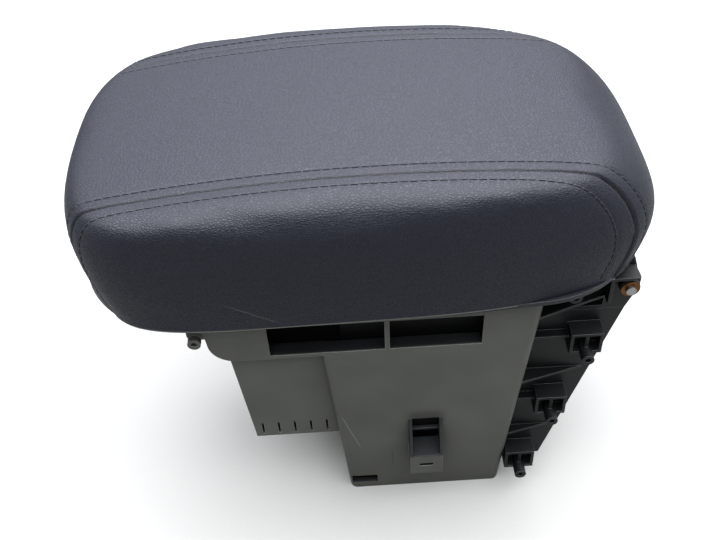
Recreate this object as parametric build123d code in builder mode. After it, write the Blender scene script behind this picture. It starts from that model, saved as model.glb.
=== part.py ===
"""Car centre armrest: a padded lid hinged at the rear of a deep storage bin.

Millimetres, +Z up, X from the front to the rear of the car, Y across it.
The origin lies on the floor under the middle of the lid.
"""
import math
import os

from build123d import *

# Clearances
RUNNING_FIT = 0.05
SCREW_FIT = 0.05
LAYER_FIT = 0.2
SIDE_PLAY = 0.6
REST_GAP = 0.2

# Lid form
LID_LENGTH = 340.0
LID_WIDTH = 188.0
LID_HEIGHT = 87.0
LID_BOTTOM_Z = 203.0
LID_NOSE_X = -LID_LENGTH / 2
LID_TAIL_X = LID_LENGTH / 2
WIDEST_X = 10.0
NOSE_CORNER_X = LID_NOSE_X + 30.0
NOSE_CORNER_Y = LID_WIDTH / 2 - 3.0
NOSE_CORNER_RADIUS = LID_WIDTH / 2 - 24.0
TAIL_CORNER_X = LID_TAIL_X - 22.0
TAIL_CORNER_Y = LID_WIDTH / 2 - 8.0
TAIL_CORNER_RADIUS = LID_WIDTH / 2 - 22.0
WAIST_HEIGHT = 32.0
WAIST_BULGE = 3.0
UPPER_LEAN = 3.0
FRONT_TUCK = 6.2
REAR_TUCK = 7.2
SIDE_TUCK = 1.3
FRONT_TOP_X = LID_NOSE_X + 12.5
FRONT_TOP_HEIGHT = LID_HEIGHT - 15.0
FRONT_TOP_RADIUS = 14.0
REAR_TOP_X = LID_TAIL_X - 32.0
REAR_TOP_HEIGHT = LID_HEIGHT - 9.0
REAR_TOP_RADIUS = 30.0
SIDE_TOP_Y = LID_WIDTH / 2 - 7.0
SIDE_TOP_HEIGHT = LID_HEIGHT - 4.0
SIDE_TOP_RADIUS = 12.0
SHOULDER_BULGE = 4.0
LEAST_ROUND = 3.0
SEAM_Y = LID_WIDTH / 2 - 23.8

# Lid layers
COVER_THICKNESS = 1.5
FOAM_THICKNESS = 14.0
CARRIER_WALL = 2.6
BASE_FLANGE = 1.0
BASE_FLANGE_INSET = 3.0
BASE_THICKNESS = 3.0
BASE_PAD_RADIUS = 5.5
BASE_PAD_HEIGHT = 6.0
COLUMN_RADIUS = 4.5
COLUMN_MIDDLE_X = 14.0
COLUMN_PITCH_X = 82.0
COLUMN_PITCH_Y = LID_WIDTH - 76.0
COLUMNS_ALONG = 3

# Axles, set back from the lid's ends
LATCH_X = LID_NOSE_X + 61.0
HINGE_X = LID_TAIL_X - 13.0

# Storage bin housing
BIN_LENGTH = 107.0
BIN_REAR_X = HINGE_X - 67.0
BIN_FRONT_X = BIN_REAR_X - BIN_LENGTH
BIN_WIDTH = 131.0
BIN_DRAFT = 4.0
BIN_WALL = 2.6
BIN_CORNER = 5.0
RIM_TOP_Z = LID_BOTTOM_Z - 5.0
RIM_BOTTOM_Z = RIM_TOP_Z - 39.0
RIM_FRONT_X = LATCH_X + 16.5
RIM_NOSE_RADIUS = 16.0
TRAY_BOTTOM_Z = 64.0
TRAY_FRONT_X = RIM_FRONT_X + 14.5
TRAY_WIDTH = BIN_WIDTH - 7.0
WINDOW_FRONT_X = RIM_FRONT_X + 34.5
WINDOW_REAR_X = BIN_REAR_X - 21.5
WINDOW_BOTTOM_Z = RIM_BOTTOM_Z + 3.0
WINDOW_TOP_Z = RIM_TOP_Z - 10.0
WINDOW_BAR_X = BIN_FRONT_X + 29.0
WINDOW_BAR = 3.0
LEDGE_DEPTH = 8.0
LEDGE_THICKNESS = 2.0
SLIT_COUNT = 5
SLIT_PITCH = 10.8
SLIT_MIDDLE_X = TRAY_FRONT_X + 26.7
SLIT_WIDTH = 1.3
SLIT_HEIGHT = 12.0
SLIT_MIDDLE_Z = TRAY_BOTTOM_Z + 9.0
FOOT_SLOT_X = BIN_FRONT_X + 10.5
FOOT_SLOT_Z = 11.0
FOOT_SLOT_LENGTH = 18.0
FOOT_SLOT_HEIGHT = 9.0
CLIP_X = BIN_FRONT_X + 53.0
CLIP_WIDTH = 22.0
CLIP_BOTTOM_Z = 37.0
CLIP_HEIGHT = 22.0
CLIP_DEPTH = 13.0
CLIP_WALL = 2.0
CLIP_MOUTH_HEIGHT = 26.0
CLIP_BAR = 2.0
CLIP_SLOT_WIDTH = 9.0
CLIP_SLOT_HEIGHT = 3.0

# Bin liner
LINER_WALL = 2.0
LINER_DRAFT = 1.0
LINER_GAP = 1.4
LINER_FLANGE = 2.0
LINER_FLANGE_INSET = 0.6
LINER_SIDE_GAP = 2.4
LINER_REAR_GAP = 5.4

# Side screw bosses
BOSS_RADIUS = 3.9
BOSS_BORE_RADIUS = 1.7
BOSS_FACE_Y = BIN_WIDTH / 2 + 12.5
FRONT_BOSS_X = RIM_FRONT_X - 7.5
FRONT_BOSS_Z = RIM_TOP_Z - 16.5
FRONT_BOSS_FACE_Y = BOSS_FACE_Y + 4.0
FRONT_BLOCK_WIDTH = 16.0
FRONT_BLOCK_HEIGHT = 11.0
FRONT_BLOCK_INNER_Y = BOSS_FACE_Y - 16.0
FRONT_BLOCK_CORNER = 3.5

# Rear frame
FRAME_PLATE_Y = BIN_WIDTH / 2 - 7.5
FRAME_PLATE = 3.0
FRAME_BOTTOM_Z = 20.0
FRAME_FOOT_X = BIN_REAR_X + 29.0
FRAME_TOP_X = HINGE_X + 1.0
SHELF_TOP_Z = RIM_TOP_Z - 32.0
SHELF_THICKNESS = 3.0
PEDESTAL_COUNT = 3
PEDESTAL_FIRST_X = BIN_REAR_X + 12.8
PEDESTAL_FIRST_Z = 28.5
PEDESTAL_PITCH_X = 16.0
PEDESTAL_PITCH_Z = 59.5
PEDESTAL_WIDTH = 20.0
PEDESTAL_HEIGHT = 17.0
PEDESTAL_FACE_Y = FRAME_PLATE_Y + 12.0
PEDESTAL_WALL = 2.0
PEDESTAL_POCKET = 8.0
BOSS_DROP = 6.5
GUSSET_THICKNESS = 2.0
GUSSET_DROP = 36.0
GUSSET_SETBACK = 4.0
FRAME_SCREW_Y = FRAME_PLATE_Y - 18.0
FRAME_SCREW_LOW = 62.0
FRAME_SCREW_HIGH = SHELF_TOP_Z - 26.0
FRAME_BOSS_LENGTH = 6.0

# Hinge
HINGE_Z = LID_BOTTOM_Z - 16.0
PIN_RADIUS = 3.0
PIN_HALF_LENGTH = FRAME_PLATE_Y + 8.0
BRACKET_FOOT = 3.0
BRACKET_FRONT_X = BIN_REAR_X + 15.0
EAR_THICKNESS = 4.0
EAR_FRONT_X = HINGE_X - 13.0
EAR_TOP_Z = HINGE_Z + 11.0
EAR_HEAD_RADIUS = 7.5
HUB_RADIUS = 6.0
HUB_FACE_Y = FRAME_PLATE_Y + 5.0
HOOD_WALL = 2.0
HOOD_FACE_Y = FRAME_PLATE_Y + 8.0
HOOD_BOTTOM_Z = HINGE_Z - 9.0
WING_Z = SHELF_TOP_Z + 10.0
RAIL_Y = FRAME_PLATE_Y - 4.0
TOP_BOSS_X = BIN_REAR_X + 32.0
TOP_BOSS_Z = SHELF_TOP_Z + 26.0
TOP_BOSS_FACE_Y = BOSS_FACE_Y - 4.0
FOOT_SCREW_MIDDLE_X = HINGE_X - 27.0
FOOT_SCREW_PITCH_X = 36.0
FOOT_SCREW_PITCH_Y = 2 * FRAME_PLATE_Y - 32.0
FOOT_BOSS_LENGTH = 12.0
RING_RADIUS = 5.6
RING_THICKNESS = 1.0
LEAF_THICKNESS = 2.0
LEAF_FRONT_X = HINGE_X - 49.0
LEAF_REAR_X = HINGE_X + 3.0
LEAF_EAR = 3.0
LEAF_EAR_FRONT_X = HINGE_X - 25.0
LEAF_HEAD_RADIUS = 8.0
LEAF_SCREW_MIDDLE_X = HINGE_X - 33.0
LEAF_SCREW_PITCH_X = 24.0
LEAF_SCREW_PITCH_Y = 2 * FRAME_PLATE_Y - 44.0
LEAF_BOSS_HEIGHT = 14.0

# Screws
SCREW_RADIUS = 1.75
SCREW_HEAD_RADIUS = 3.4
SCREW_HEAD_HEIGHT = 2.2
SCREW_GRIP = 9.0
SCREW_BOSS_RADIUS = 4.0
COUNTERBORE_CLEARANCE = 0.4

# Latch
POCKET_FRONT_X = LATCH_X - 30.0
POCKET_REAR_X = LATCH_X + 12.0
POCKET_HALF_WIDTH = 28.0
POCKET_WALL = 2.0
POCKET_HEIGHT = 20.0
LATCH_Z = LID_BOTTOM_Z + 8.5
LATCH_PIN_RADIUS = 2.0
LATCH_HUB_RADIUS = 4.8
LATCH_HUB_END_Y = 16.0
PADDLE_HALF_WIDTH = POCKET_HALF_WIDTH - 3.0
PADDLE_FRONT_X = POCKET_FRONT_X + 3.0
PADDLE_THICKNESS = 3.6
PADDLE_RAISE = 0.6
HOOK_HALF_WIDTH = 7.0
HOOK_THICKNESS = 6.0
HOOK_TOOTH = 5.6
HOOK_TOOTH_HEIGHT = 3.8
HOOK_GAP = 0.3
STRIKER_FACE_X = LATCH_X + 11.0
STRIKER_THICKNESS = 2.0
STRIKER_HALF_WIDTH = 14.0
STRIKER_BOTTOM_Z = RIM_TOP_Z - 19.0
STRIKER_TOP_Z = RIM_TOP_Z - 1.0
STRIKER_REACH = 6.4
STRIKER_SCREW_Z = STRIKER_BOTTOM_Z + 5.5
STRIKER_SCREW_PITCH = 18.0
SPRING_RADIUS = 3.4
SPRING_WIRE_RADIUS = 0.45
SPRING_PITCH = 1.3
SPRING_LENGTH = 6.5
SPRING_START_Y = 17.5

# Rim buffers
BUFFER_RADIUS = 4.0
BUFFER_FRONT_X = RIM_FRONT_X + 12.5
BUFFER_REAR_X = BIN_REAR_X - 20.0
BUFFER_PITCH_Y = BIN_WIDTH + 10.0

slope = math.tan(math.radians(BIN_DRAFT))
rim_seat_z = RIM_TOP_Z + LINER_FLANGE
base_top_z = LID_BOTTOM_Z + BASE_THICKNESS
sides = (-1, 1)
sits_on = (Align.CENTER, Align.CENTER, Align.MIN)
hangs_from = (Align.CENTER, Align.CENTER, Align.MAX)


def near_face_y(z):
    """Distance of the housing's side face from the middle at height z."""
    return BIN_WIDTH / 2 + slope * z


def rear_face_x(z):
    """Place of the housing's rear face at height z."""
    return BIN_REAR_X + slope * z


def side_plane(side):
    """Plane on a drafted side face of the housing, its y axis up the wall."""
    return Plane(origin=(0, side * BIN_WIDTH / 2, 0), x_dir=(-side, 0, 0), z_dir=(0, side, -slope))


rear_plane = Plane(origin=(BIN_REAR_X, 0, 0), x_dir=(0, 1, 0), z_dir=(1, 0, -slope))


def drafted_block(front_x, rear_x, half_width, bottom_z, top_z, draft):
    """Block with walls that lean outwards; the sizes are those of its bottom."""
    with BuildPart() as block:
        with BuildSketch(Plane.XY.offset(bottom_z)):
            with Locations(((front_x + rear_x) / 2, 0)):
                Rectangle(rear_x - front_x, 2 * half_width)
        extrude(amount=top_z - bottom_z, taper=-draft)
    return block.part


def bulged(start, end):
    """Middle point of a shoulder arc that bulges away from the lid's inside."""
    across, rise = end[0] - start[0], end[1] - start[1]
    length = math.hypot(across, rise)
    outward = math.copysign(SHOULDER_BULGE / length, start[0])
    return ((start[0] + end[0]) / 2 + outward * abs(rise), (start[1] + end[1]) / 2 + abs(outward * across))


def lid_profile(low_end, high_end, low_tuck, high_tuck, low_top, high_top, middle, inset):
    """Upright outline of the lid from one end to the other, drawn in by an inset."""
    low_waist = (low_end - WAIST_BULGE + inset, WAIST_HEIGHT)
    high_waist = (high_end + WAIST_BULGE - inset, WAIST_HEIGHT)
    low_foot = (low_waist[0] + 2 * (low_tuck + WAIST_BULGE), -WAIST_HEIGHT)
    high_foot = (high_waist[0] - 2 * (high_tuck + WAIST_BULGE), -WAIST_HEIGHT)
    low_shoulder = (low_top[0] + inset, low_top[1] - inset)
    high_shoulder = (high_top[0] - inset, high_top[1] - inset)
    with BuildSketch(Plane.XY) as outline:
        with BuildLine():
            Polyline(low_waist, low_foot, high_foot, high_waist)
            ThreePointArc(low_waist, bulged(low_waist, low_shoulder), low_shoulder)
            ThreePointArc(low_shoulder, (middle, LID_HEIGHT - inset), high_shoulder)
            ThreePointArc(high_shoulder, bulged(high_waist, high_shoulder), high_waist)
        make_face()
        for place, radius in ((low_shoulder, low_top[2]), (high_shoulder, high_top[2])):
            fillet(outline.vertices().sort_by_distance((*place, 0))[0], max(radius - inset, LEAST_ROUND))
    return outline.sketch


def lid_block(inset, low):
    """The lid's crowned form, drawn in by an inset, from a height upwards."""
    nose, tail, half = LID_NOSE_X + inset, LID_TAIL_X - inset, LID_WIDTH / 2 - inset
    nose_corner = (NOSE_CORNER_X + inset, NOSE_CORNER_Y - inset)
    tail_corner = (TAIL_CORNER_X - inset, TAIL_CORNER_Y - inset)
    side_view = lid_profile(
        LID_NOSE_X,
        LID_TAIL_X,
        FRONT_TUCK,
        REAR_TUCK,
        (FRONT_TOP_X, FRONT_TOP_HEIGHT, FRONT_TOP_RADIUS),
        (REAR_TOP_X, REAR_TOP_HEIGHT, REAR_TOP_RADIUS),
        WIDEST_X,
        inset,
    )
    end_view = lid_profile(
        -LID_WIDTH / 2,
        LID_WIDTH / 2,
        SIDE_TUCK,
        SIDE_TUCK,
        (-SIDE_TOP_Y, SIDE_TOP_HEIGHT, SIDE_TOP_RADIUS),
        (SIDE_TOP_Y, SIDE_TOP_HEIGHT, SIDE_TOP_RADIUS),
        0,
        inset,
    )
    with BuildPart() as block:
        with BuildSketch(Plane.XY.offset(LID_BOTTOM_Z + WAIST_HEIGHT)) as plan:
            with BuildLine():
                for side in sides:
                    ThreePointArc(
                        (nose_corner[0], side * nose_corner[1]),
                        (WIDEST_X, side * half),
                        (tail_corner[0], side * tail_corner[1]),
                    )
                ThreePointArc((nose_corner[0], -nose_corner[1]), (nose, 0), nose_corner)
                ThreePointArc((tail_corner[0], -tail_corner[1]), (tail, 0), tail_corner)
            make_face()
            fillet(plan.vertices().sort_by(Axis.X)[:2], max(NOSE_CORNER_RADIUS - inset, LEAST_ROUND))
            fillet(plan.vertices().sort_by(Axis.X)[-2:], max(TAIL_CORNER_RADIUS - inset, LEAST_ROUND))
        extrude(amount=LID_HEIGHT - WAIST_HEIGHT, taper=UPPER_LEAN)
        extrude(plan.sketch, amount=low - WAIST_HEIGHT)
        across = Plane(origin=(0, 0, LID_BOTTOM_Z), x_dir=(1, 0, 0), z_dir=(0, -1, 0))
        along = Plane(origin=(0, 0, LID_BOTTOM_Z), x_dir=(0, 1, 0), z_dir=(1, 0, 0))
        extrude(across * side_view, amount=LID_WIDTH, both=True, mode=Mode.INTERSECT)
        extrude(along * end_view, amount=LID_LENGTH, both=True, mode=Mode.INTERSECT)
    return block.part


def screw_group(plane, places, grip):
    """Pan-head screws, heads on the plane and shanks going down through it."""
    with BuildPart() as screws:
        with Locations(plane):
            with Locations(*places):
                Cylinder(SCREW_HEAD_RADIUS, SCREW_HEAD_HEIGHT, align=sits_on)
                Cylinder(SCREW_RADIUS, grip, align=hangs_from)
    return screws.part


def across_plane(side, y):
    """Upright plane at a distance y from the middle, facing outwards."""
    return Plane(origin=(0, side * y, 0), x_dir=(-side, 0, 0), z_dir=(0, side, 0))


def spot(side, x, z):
    """Place on an outward-facing plane of a point at x and z."""
    return (-side * x, z)


def span_box(low, high, mode=Mode.ADD):
    """Box between two corners."""
    size = [b - a for a, b in zip(low, high)]
    with Locations(low):
        Box(*size, align=(Align.MIN, Align.MIN, Align.MIN), mode=mode)


def rod(side, x, z, radius, from_y, to_y, mode=Mode.ADD):
    """Round bar across the part between two distances from the middle."""
    with BuildSketch(across_plane(side, from_y)) as section:
        with Locations(spot(side, x, z)):
            Circle(radius)
    extrude(section.sketch, amount=to_y - from_y, mode=mode)


def is_upright(edge):
    """True for an edge that rises more than it runs, such as a block's corner."""
    run = edge.end_point() - edge.start_point()
    return abs(run.Z) > math.hypot(run.X, run.Y)


def frame_rear_x(z):
    """Place of the frame's sloping rear edge at height z."""
    share = (z - FRAME_BOTTOM_Z) / (SHELF_TOP_Z - FRAME_BOTTOM_Z)
    return FRAME_FOOT_X + (FRAME_TOP_X - FRAME_FOOT_X) * share


up = math.hypot(1, slope)
shrink = BIN_WALL * (1 - slope)
screw_hole = SCREW_RADIUS + SCREW_FIT
pin_hole = PIN_RADIUS + RUNNING_FIT
near = side_plane(-1)
joint_x = BIN_FRONT_X + 2 * BIN_WALL
frame_spots = [
    (side * FRAME_SCREW_Y, z * up)
    for side in sides
    for z in (FRAME_SCREW_LOW, FRAME_SCREW_HIGH)
]

# Housing: blocks and the hollows inside them
deep_block = drafted_block(BIN_FRONT_X, BIN_REAR_X, BIN_WIDTH / 2, 0, RIM_TOP_Z, BIN_DRAFT)
deep_hollow = drafted_block(
    BIN_FRONT_X + shrink,
    BIN_REAR_X - shrink,
    BIN_WIDTH / 2 - shrink,
    BIN_WALL,
    RIM_TOP_Z + BIN_WALL,
    BIN_DRAFT,
)
tray_block = drafted_block(
    TRAY_FRONT_X, joint_x, TRAY_WIDTH / 2, TRAY_BOTTOM_Z, RIM_BOTTOM_Z + BIN_WALL, BIN_DRAFT
)
tray_hollow = drafted_block(
    TRAY_FRONT_X + shrink, joint_x, TRAY_WIDTH / 2 - shrink, TRAY_BOTTOM_Z + BIN_WALL, RIM_TOP_Z, BIN_DRAFT
)
rim_sharp = drafted_block(
    RIM_FRONT_X, joint_x, near_face_y(RIM_BOTTOM_Z), RIM_BOTTOM_Z, RIM_TOP_Z, BIN_DRAFT
)
rim_sharp_hollow = drafted_block(
    RIM_FRONT_X + shrink,
    joint_x,
    near_face_y(RIM_BOTTOM_Z) - shrink,
    RIM_BOTTOM_Z + BIN_WALL,
    RIM_TOP_Z + BIN_WALL,
    BIN_DRAFT,
)

with BuildPart() as rim_block:
    add(rim_sharp)
    fillet(rim_block.edges().filter_by(Axis.Y).group_by(Axis.Z)[0].sort_by(Axis.X)[0], RIM_NOSE_RADIUS)

with BuildPart() as rim_hollow:
    add(rim_sharp_hollow)
    nose_edge = rim_hollow.edges().filter_by(Axis.Y).group_by(Axis.Z)[0].sort_by(Axis.X)[0]
    fillet(nose_edge, RIM_NOSE_RADIUS - BIN_WALL)

with BuildPart() as storage_bin:
    add(deep_block)
    fillet(storage_bin.edges().filter_by(is_upright), BIN_CORNER)
    add(tray_block)
    add(rim_block.part)
    add(deep_hollow, mode=Mode.SUBTRACT)
    add(tray_hollow, mode=Mode.SUBTRACT)
    add(rim_hollow.part, mode=Mode.SUBTRACT)
    for side in sides:
        # Windows in the rim band, with a bar between them and a ledge under them
        with BuildSketch(side_plane(side)):
            for low_x, high_x in (
                (WINDOW_FRONT_X, WINDOW_BAR_X - WINDOW_BAR / 2),
                (WINDOW_BAR_X + WINDOW_BAR / 2, WINDOW_REAR_X),
            ):
                with Locations(spot(side, (low_x + high_x) / 2, (WINDOW_BOTTOM_Z + WINDOW_TOP_Z) / 2 * up)):
                    Rectangle(high_x - low_x, (WINDOW_TOP_Z - WINDOW_BOTTOM_Z) * up)
        extrude(amount=-2 * BIN_WALL, mode=Mode.SUBTRACT)
        ledge_bottom_z = WINDOW_BOTTOM_Z - LEDGE_THICKNESS
        ledge_y = side * (near_face_y(ledge_bottom_z) - BIN_WALL / 2)
        ledge_end_y = ledge_y - side * LEDGE_DEPTH
        span_box(
            (WINDOW_FRONT_X, min(ledge_y, ledge_end_y), ledge_bottom_z),
            (WINDOW_REAR_X, max(ledge_y, ledge_end_y), WINDOW_BOTTOM_Z),
        )
        # Slits low in the tray's side wall
        tray_side = Plane(
            origin=(0, side * TRAY_WIDTH / 2, TRAY_BOTTOM_Z), x_dir=(-side, 0, 0), z_dir=(0, side, -slope)
        )
        with BuildSketch(tray_side):
            with Locations(spot(side, SLIT_MIDDLE_X, (SLIT_MIDDLE_Z - TRAY_BOTTOM_Z) * up)):
                with GridLocations(SLIT_PITCH, SLIT_PITCH, SLIT_COUNT, 1):
                    Rectangle(SLIT_WIDTH, SLIT_HEIGHT)
        extrude(amount=-2 * BIN_WALL, mode=Mode.SUBTRACT)
        # Front screw boss on its block
        block_x = FRONT_BOSS_X + BOSS_RADIUS - FRONT_BLOCK_CORNER / 2
        with BuildSketch(across_plane(side, FRONT_BLOCK_INNER_Y)):
            with Locations(spot(side, block_x + BOSS_BORE_RADIUS, FRONT_BOSS_Z + FRONT_BLOCK_HEIGHT / 2)):
                RectangleRounded(FRONT_BLOCK_WIDTH, FRONT_BLOCK_HEIGHT, FRONT_BLOCK_CORNER)
        extrude(amount=BOSS_FACE_Y - FRONT_BLOCK_INNER_Y)
        rod(side, FRONT_BOSS_X, FRONT_BOSS_Z, BOSS_RADIUS, FRONT_BLOCK_INNER_Y, FRONT_BOSS_FACE_Y)
        rod(
            side,
            FRONT_BOSS_X,
            FRONT_BOSS_Z,
            BOSS_BORE_RADIUS,
            FRONT_BLOCK_INNER_Y,
            FRONT_BOSS_FACE_Y,
            Mode.SUBTRACT,
        )
    # Clip tower on the near face: hollow box, two fins, a barred mouth above it
    clip_top = (CLIP_BOTTOM_Z + CLIP_HEIGHT) * up
    with BuildSketch(near):
        with Locations((CLIP_X, clip_top)):
            Rectangle(CLIP_WIDTH, CLIP_HEIGHT * up, align=(Align.CENTER, Align.MAX))
    extrude(amount=CLIP_DEPTH)
    for end in sides:
        fin_x = CLIP_X + end * (CLIP_WIDTH - CLIP_WALL) / 2
        fin_foot = near.from_local_coords((fin_x, clip_top, 0))
        with BuildSketch(Plane(origin=fin_foot, x_dir=near.z_dir, z_dir=-near.x_dir)):
            with BuildLine():
                Polyline((0, 0), (CLIP_DEPTH, 0), (0, CLIP_MOUTH_HEIGHT), close=True)
            make_face()
        extrude(amount=CLIP_WALL / 2, both=True)
    with BuildSketch(near):
        with Locations((CLIP_X, clip_top - CLIP_WALL)):
            Rectangle(CLIP_WIDTH - 2 * CLIP_WALL, CLIP_HEIGHT * up, align=(Align.CENTER, Align.MAX))
    extrude(amount=CLIP_DEPTH - CLIP_WALL, mode=Mode.SUBTRACT)
    with BuildSketch(near):
        with Locations((CLIP_X, clip_top - CLIP_HEIGHT * up / 2)):
            Rectangle(CLIP_SLOT_WIDTH, CLIP_SLOT_HEIGHT)
    extrude(amount=CLIP_DEPTH, mode=Mode.SUBTRACT)
    mouth = (CLIP_MOUTH_HEIGHT - CLIP_BAR) / 2
    with BuildSketch(near):
        with Locations((CLIP_X, clip_top), (CLIP_X, clip_top + mouth + CLIP_BAR)):
            Rectangle(CLIP_WIDTH - 2 * CLIP_WALL, mouth, align=(Align.CENTER, Align.MIN))
    extrude(amount=-2 * BIN_WALL, mode=Mode.SUBTRACT)
    # Slot at the foot of the near face
    with BuildSketch(near):
        with Locations((FOOT_SLOT_X, FOOT_SLOT_Z * up)):
            RectangleRounded(FOOT_SLOT_LENGTH, FOOT_SLOT_HEIGHT, SLIT_WIDTH)
    extrude(amount=-2 * BIN_WALL, mode=Mode.SUBTRACT)
    # Bosses inside the rear wall for the frame's screws
    with Locations(rear_plane):
        with Locations(*frame_spots):
            Cylinder(SCREW_BOSS_RADIUS, BIN_WALL + FRAME_BOSS_LENGTH, align=hangs_from)
            Cylinder(screw_hole, SCREW_GRIP, align=hangs_from, mode=Mode.SUBTRACT)
    # Pad and bosses on the front wall for the striker
    span_box(
        (STRIKER_FACE_X, -STRIKER_HALF_WIDTH, STRIKER_BOTTOM_Z),
        (RIM_FRONT_X, STRIKER_HALF_WIDTH, STRIKER_TOP_Z),
    )
    for end in sides:
        with Locations((STRIKER_FACE_X, end * STRIKER_SCREW_PITCH / 2, STRIKER_SCREW_Z)):
            Cylinder(
                SCREW_BOSS_RADIUS,
                SCREW_GRIP + BIN_WALL,
                rotation=(0, 90, 0),
                align=sits_on,
            )
            Cylinder(
                screw_hole,
                SCREW_GRIP,
                rotation=(0, 90, 0),
                align=sits_on,
                mode=Mode.SUBTRACT,
            )

# Liner: the tub that hangs in the housing by its flange
liner_bottom = BIN_WALL + LINER_GAP
tray_liner_bottom = TRAY_BOTTOM_Z + BIN_WALL + LINER_GAP
deep_liner = (
    BIN_FRONT_X + BIN_WALL + LINER_GAP,
    BIN_REAR_X - BIN_WALL - LINER_REAR_GAP,
    BIN_WIDTH / 2 - BIN_WALL - LINER_SIDE_GAP,
)
tray_liner = (
    TRAY_FRONT_X + BIN_WALL + LINER_GAP,
    deep_liner[1] - LINER_WALL,
    TRAY_WIDTH / 2 - BIN_WALL - LINER_SIDE_GAP,
)
deep_tub = drafted_block(*deep_liner, liner_bottom, rim_seat_z, LINER_DRAFT)
tray_tub = drafted_block(*tray_liner, tray_liner_bottom, rim_seat_z, LINER_DRAFT)
deep_room = drafted_block(
    deep_liner[0] + LINER_WALL,
    deep_liner[1] - LINER_WALL,
    deep_liner[2] - LINER_WALL,
    liner_bottom + LINER_WALL,
    rim_seat_z + LINER_WALL,
    LINER_DRAFT,
)
tray_room = drafted_block(
    tray_liner[0] + LINER_WALL,
    tray_liner[1] - LINER_WALL,
    tray_liner[2] - LINER_WALL,
    tray_liner_bottom + LINER_WALL,
    rim_seat_z + LINER_WALL,
    LINER_DRAFT,
)
flange_front_x = RIM_FRONT_X - slope * (RIM_TOP_Z - RIM_BOTTOM_Z) + LINER_FLANGE_INSET
flange_rear_x = rear_face_x(RIM_TOP_Z) - LINER_FLANGE_INSET

with BuildPart() as bin_liner:
    add(deep_tub)
    add(tray_tub)
    with BuildSketch(Plane.XY.offset(RIM_TOP_Z)):
        with Locations(((flange_front_x + flange_rear_x) / 2, 0)):
            RectangleRounded(
                flange_rear_x - flange_front_x,
                2 * (near_face_y(RIM_TOP_Z) - LINER_FLANGE_INSET),
                BIN_CORNER,
            )
    extrude(amount=LINER_FLANGE)
    add(deep_room, mode=Mode.SUBTRACT)
    add(tray_room, mode=Mode.SUBTRACT)

with BuildPart() as rim_buffers:
    with Locations(((BUFFER_FRONT_X + BUFFER_REAR_X) / 2, 0, rim_seat_z)):
        with GridLocations(BUFFER_REAR_X - BUFFER_FRONT_X, BUFFER_PITCH_Y, 2, 2):
            Cylinder(
                BUFFER_RADIUS,
                LID_BOTTOM_Z - REST_GAP - rim_seat_z,
                align=sits_on,
            )

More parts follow.
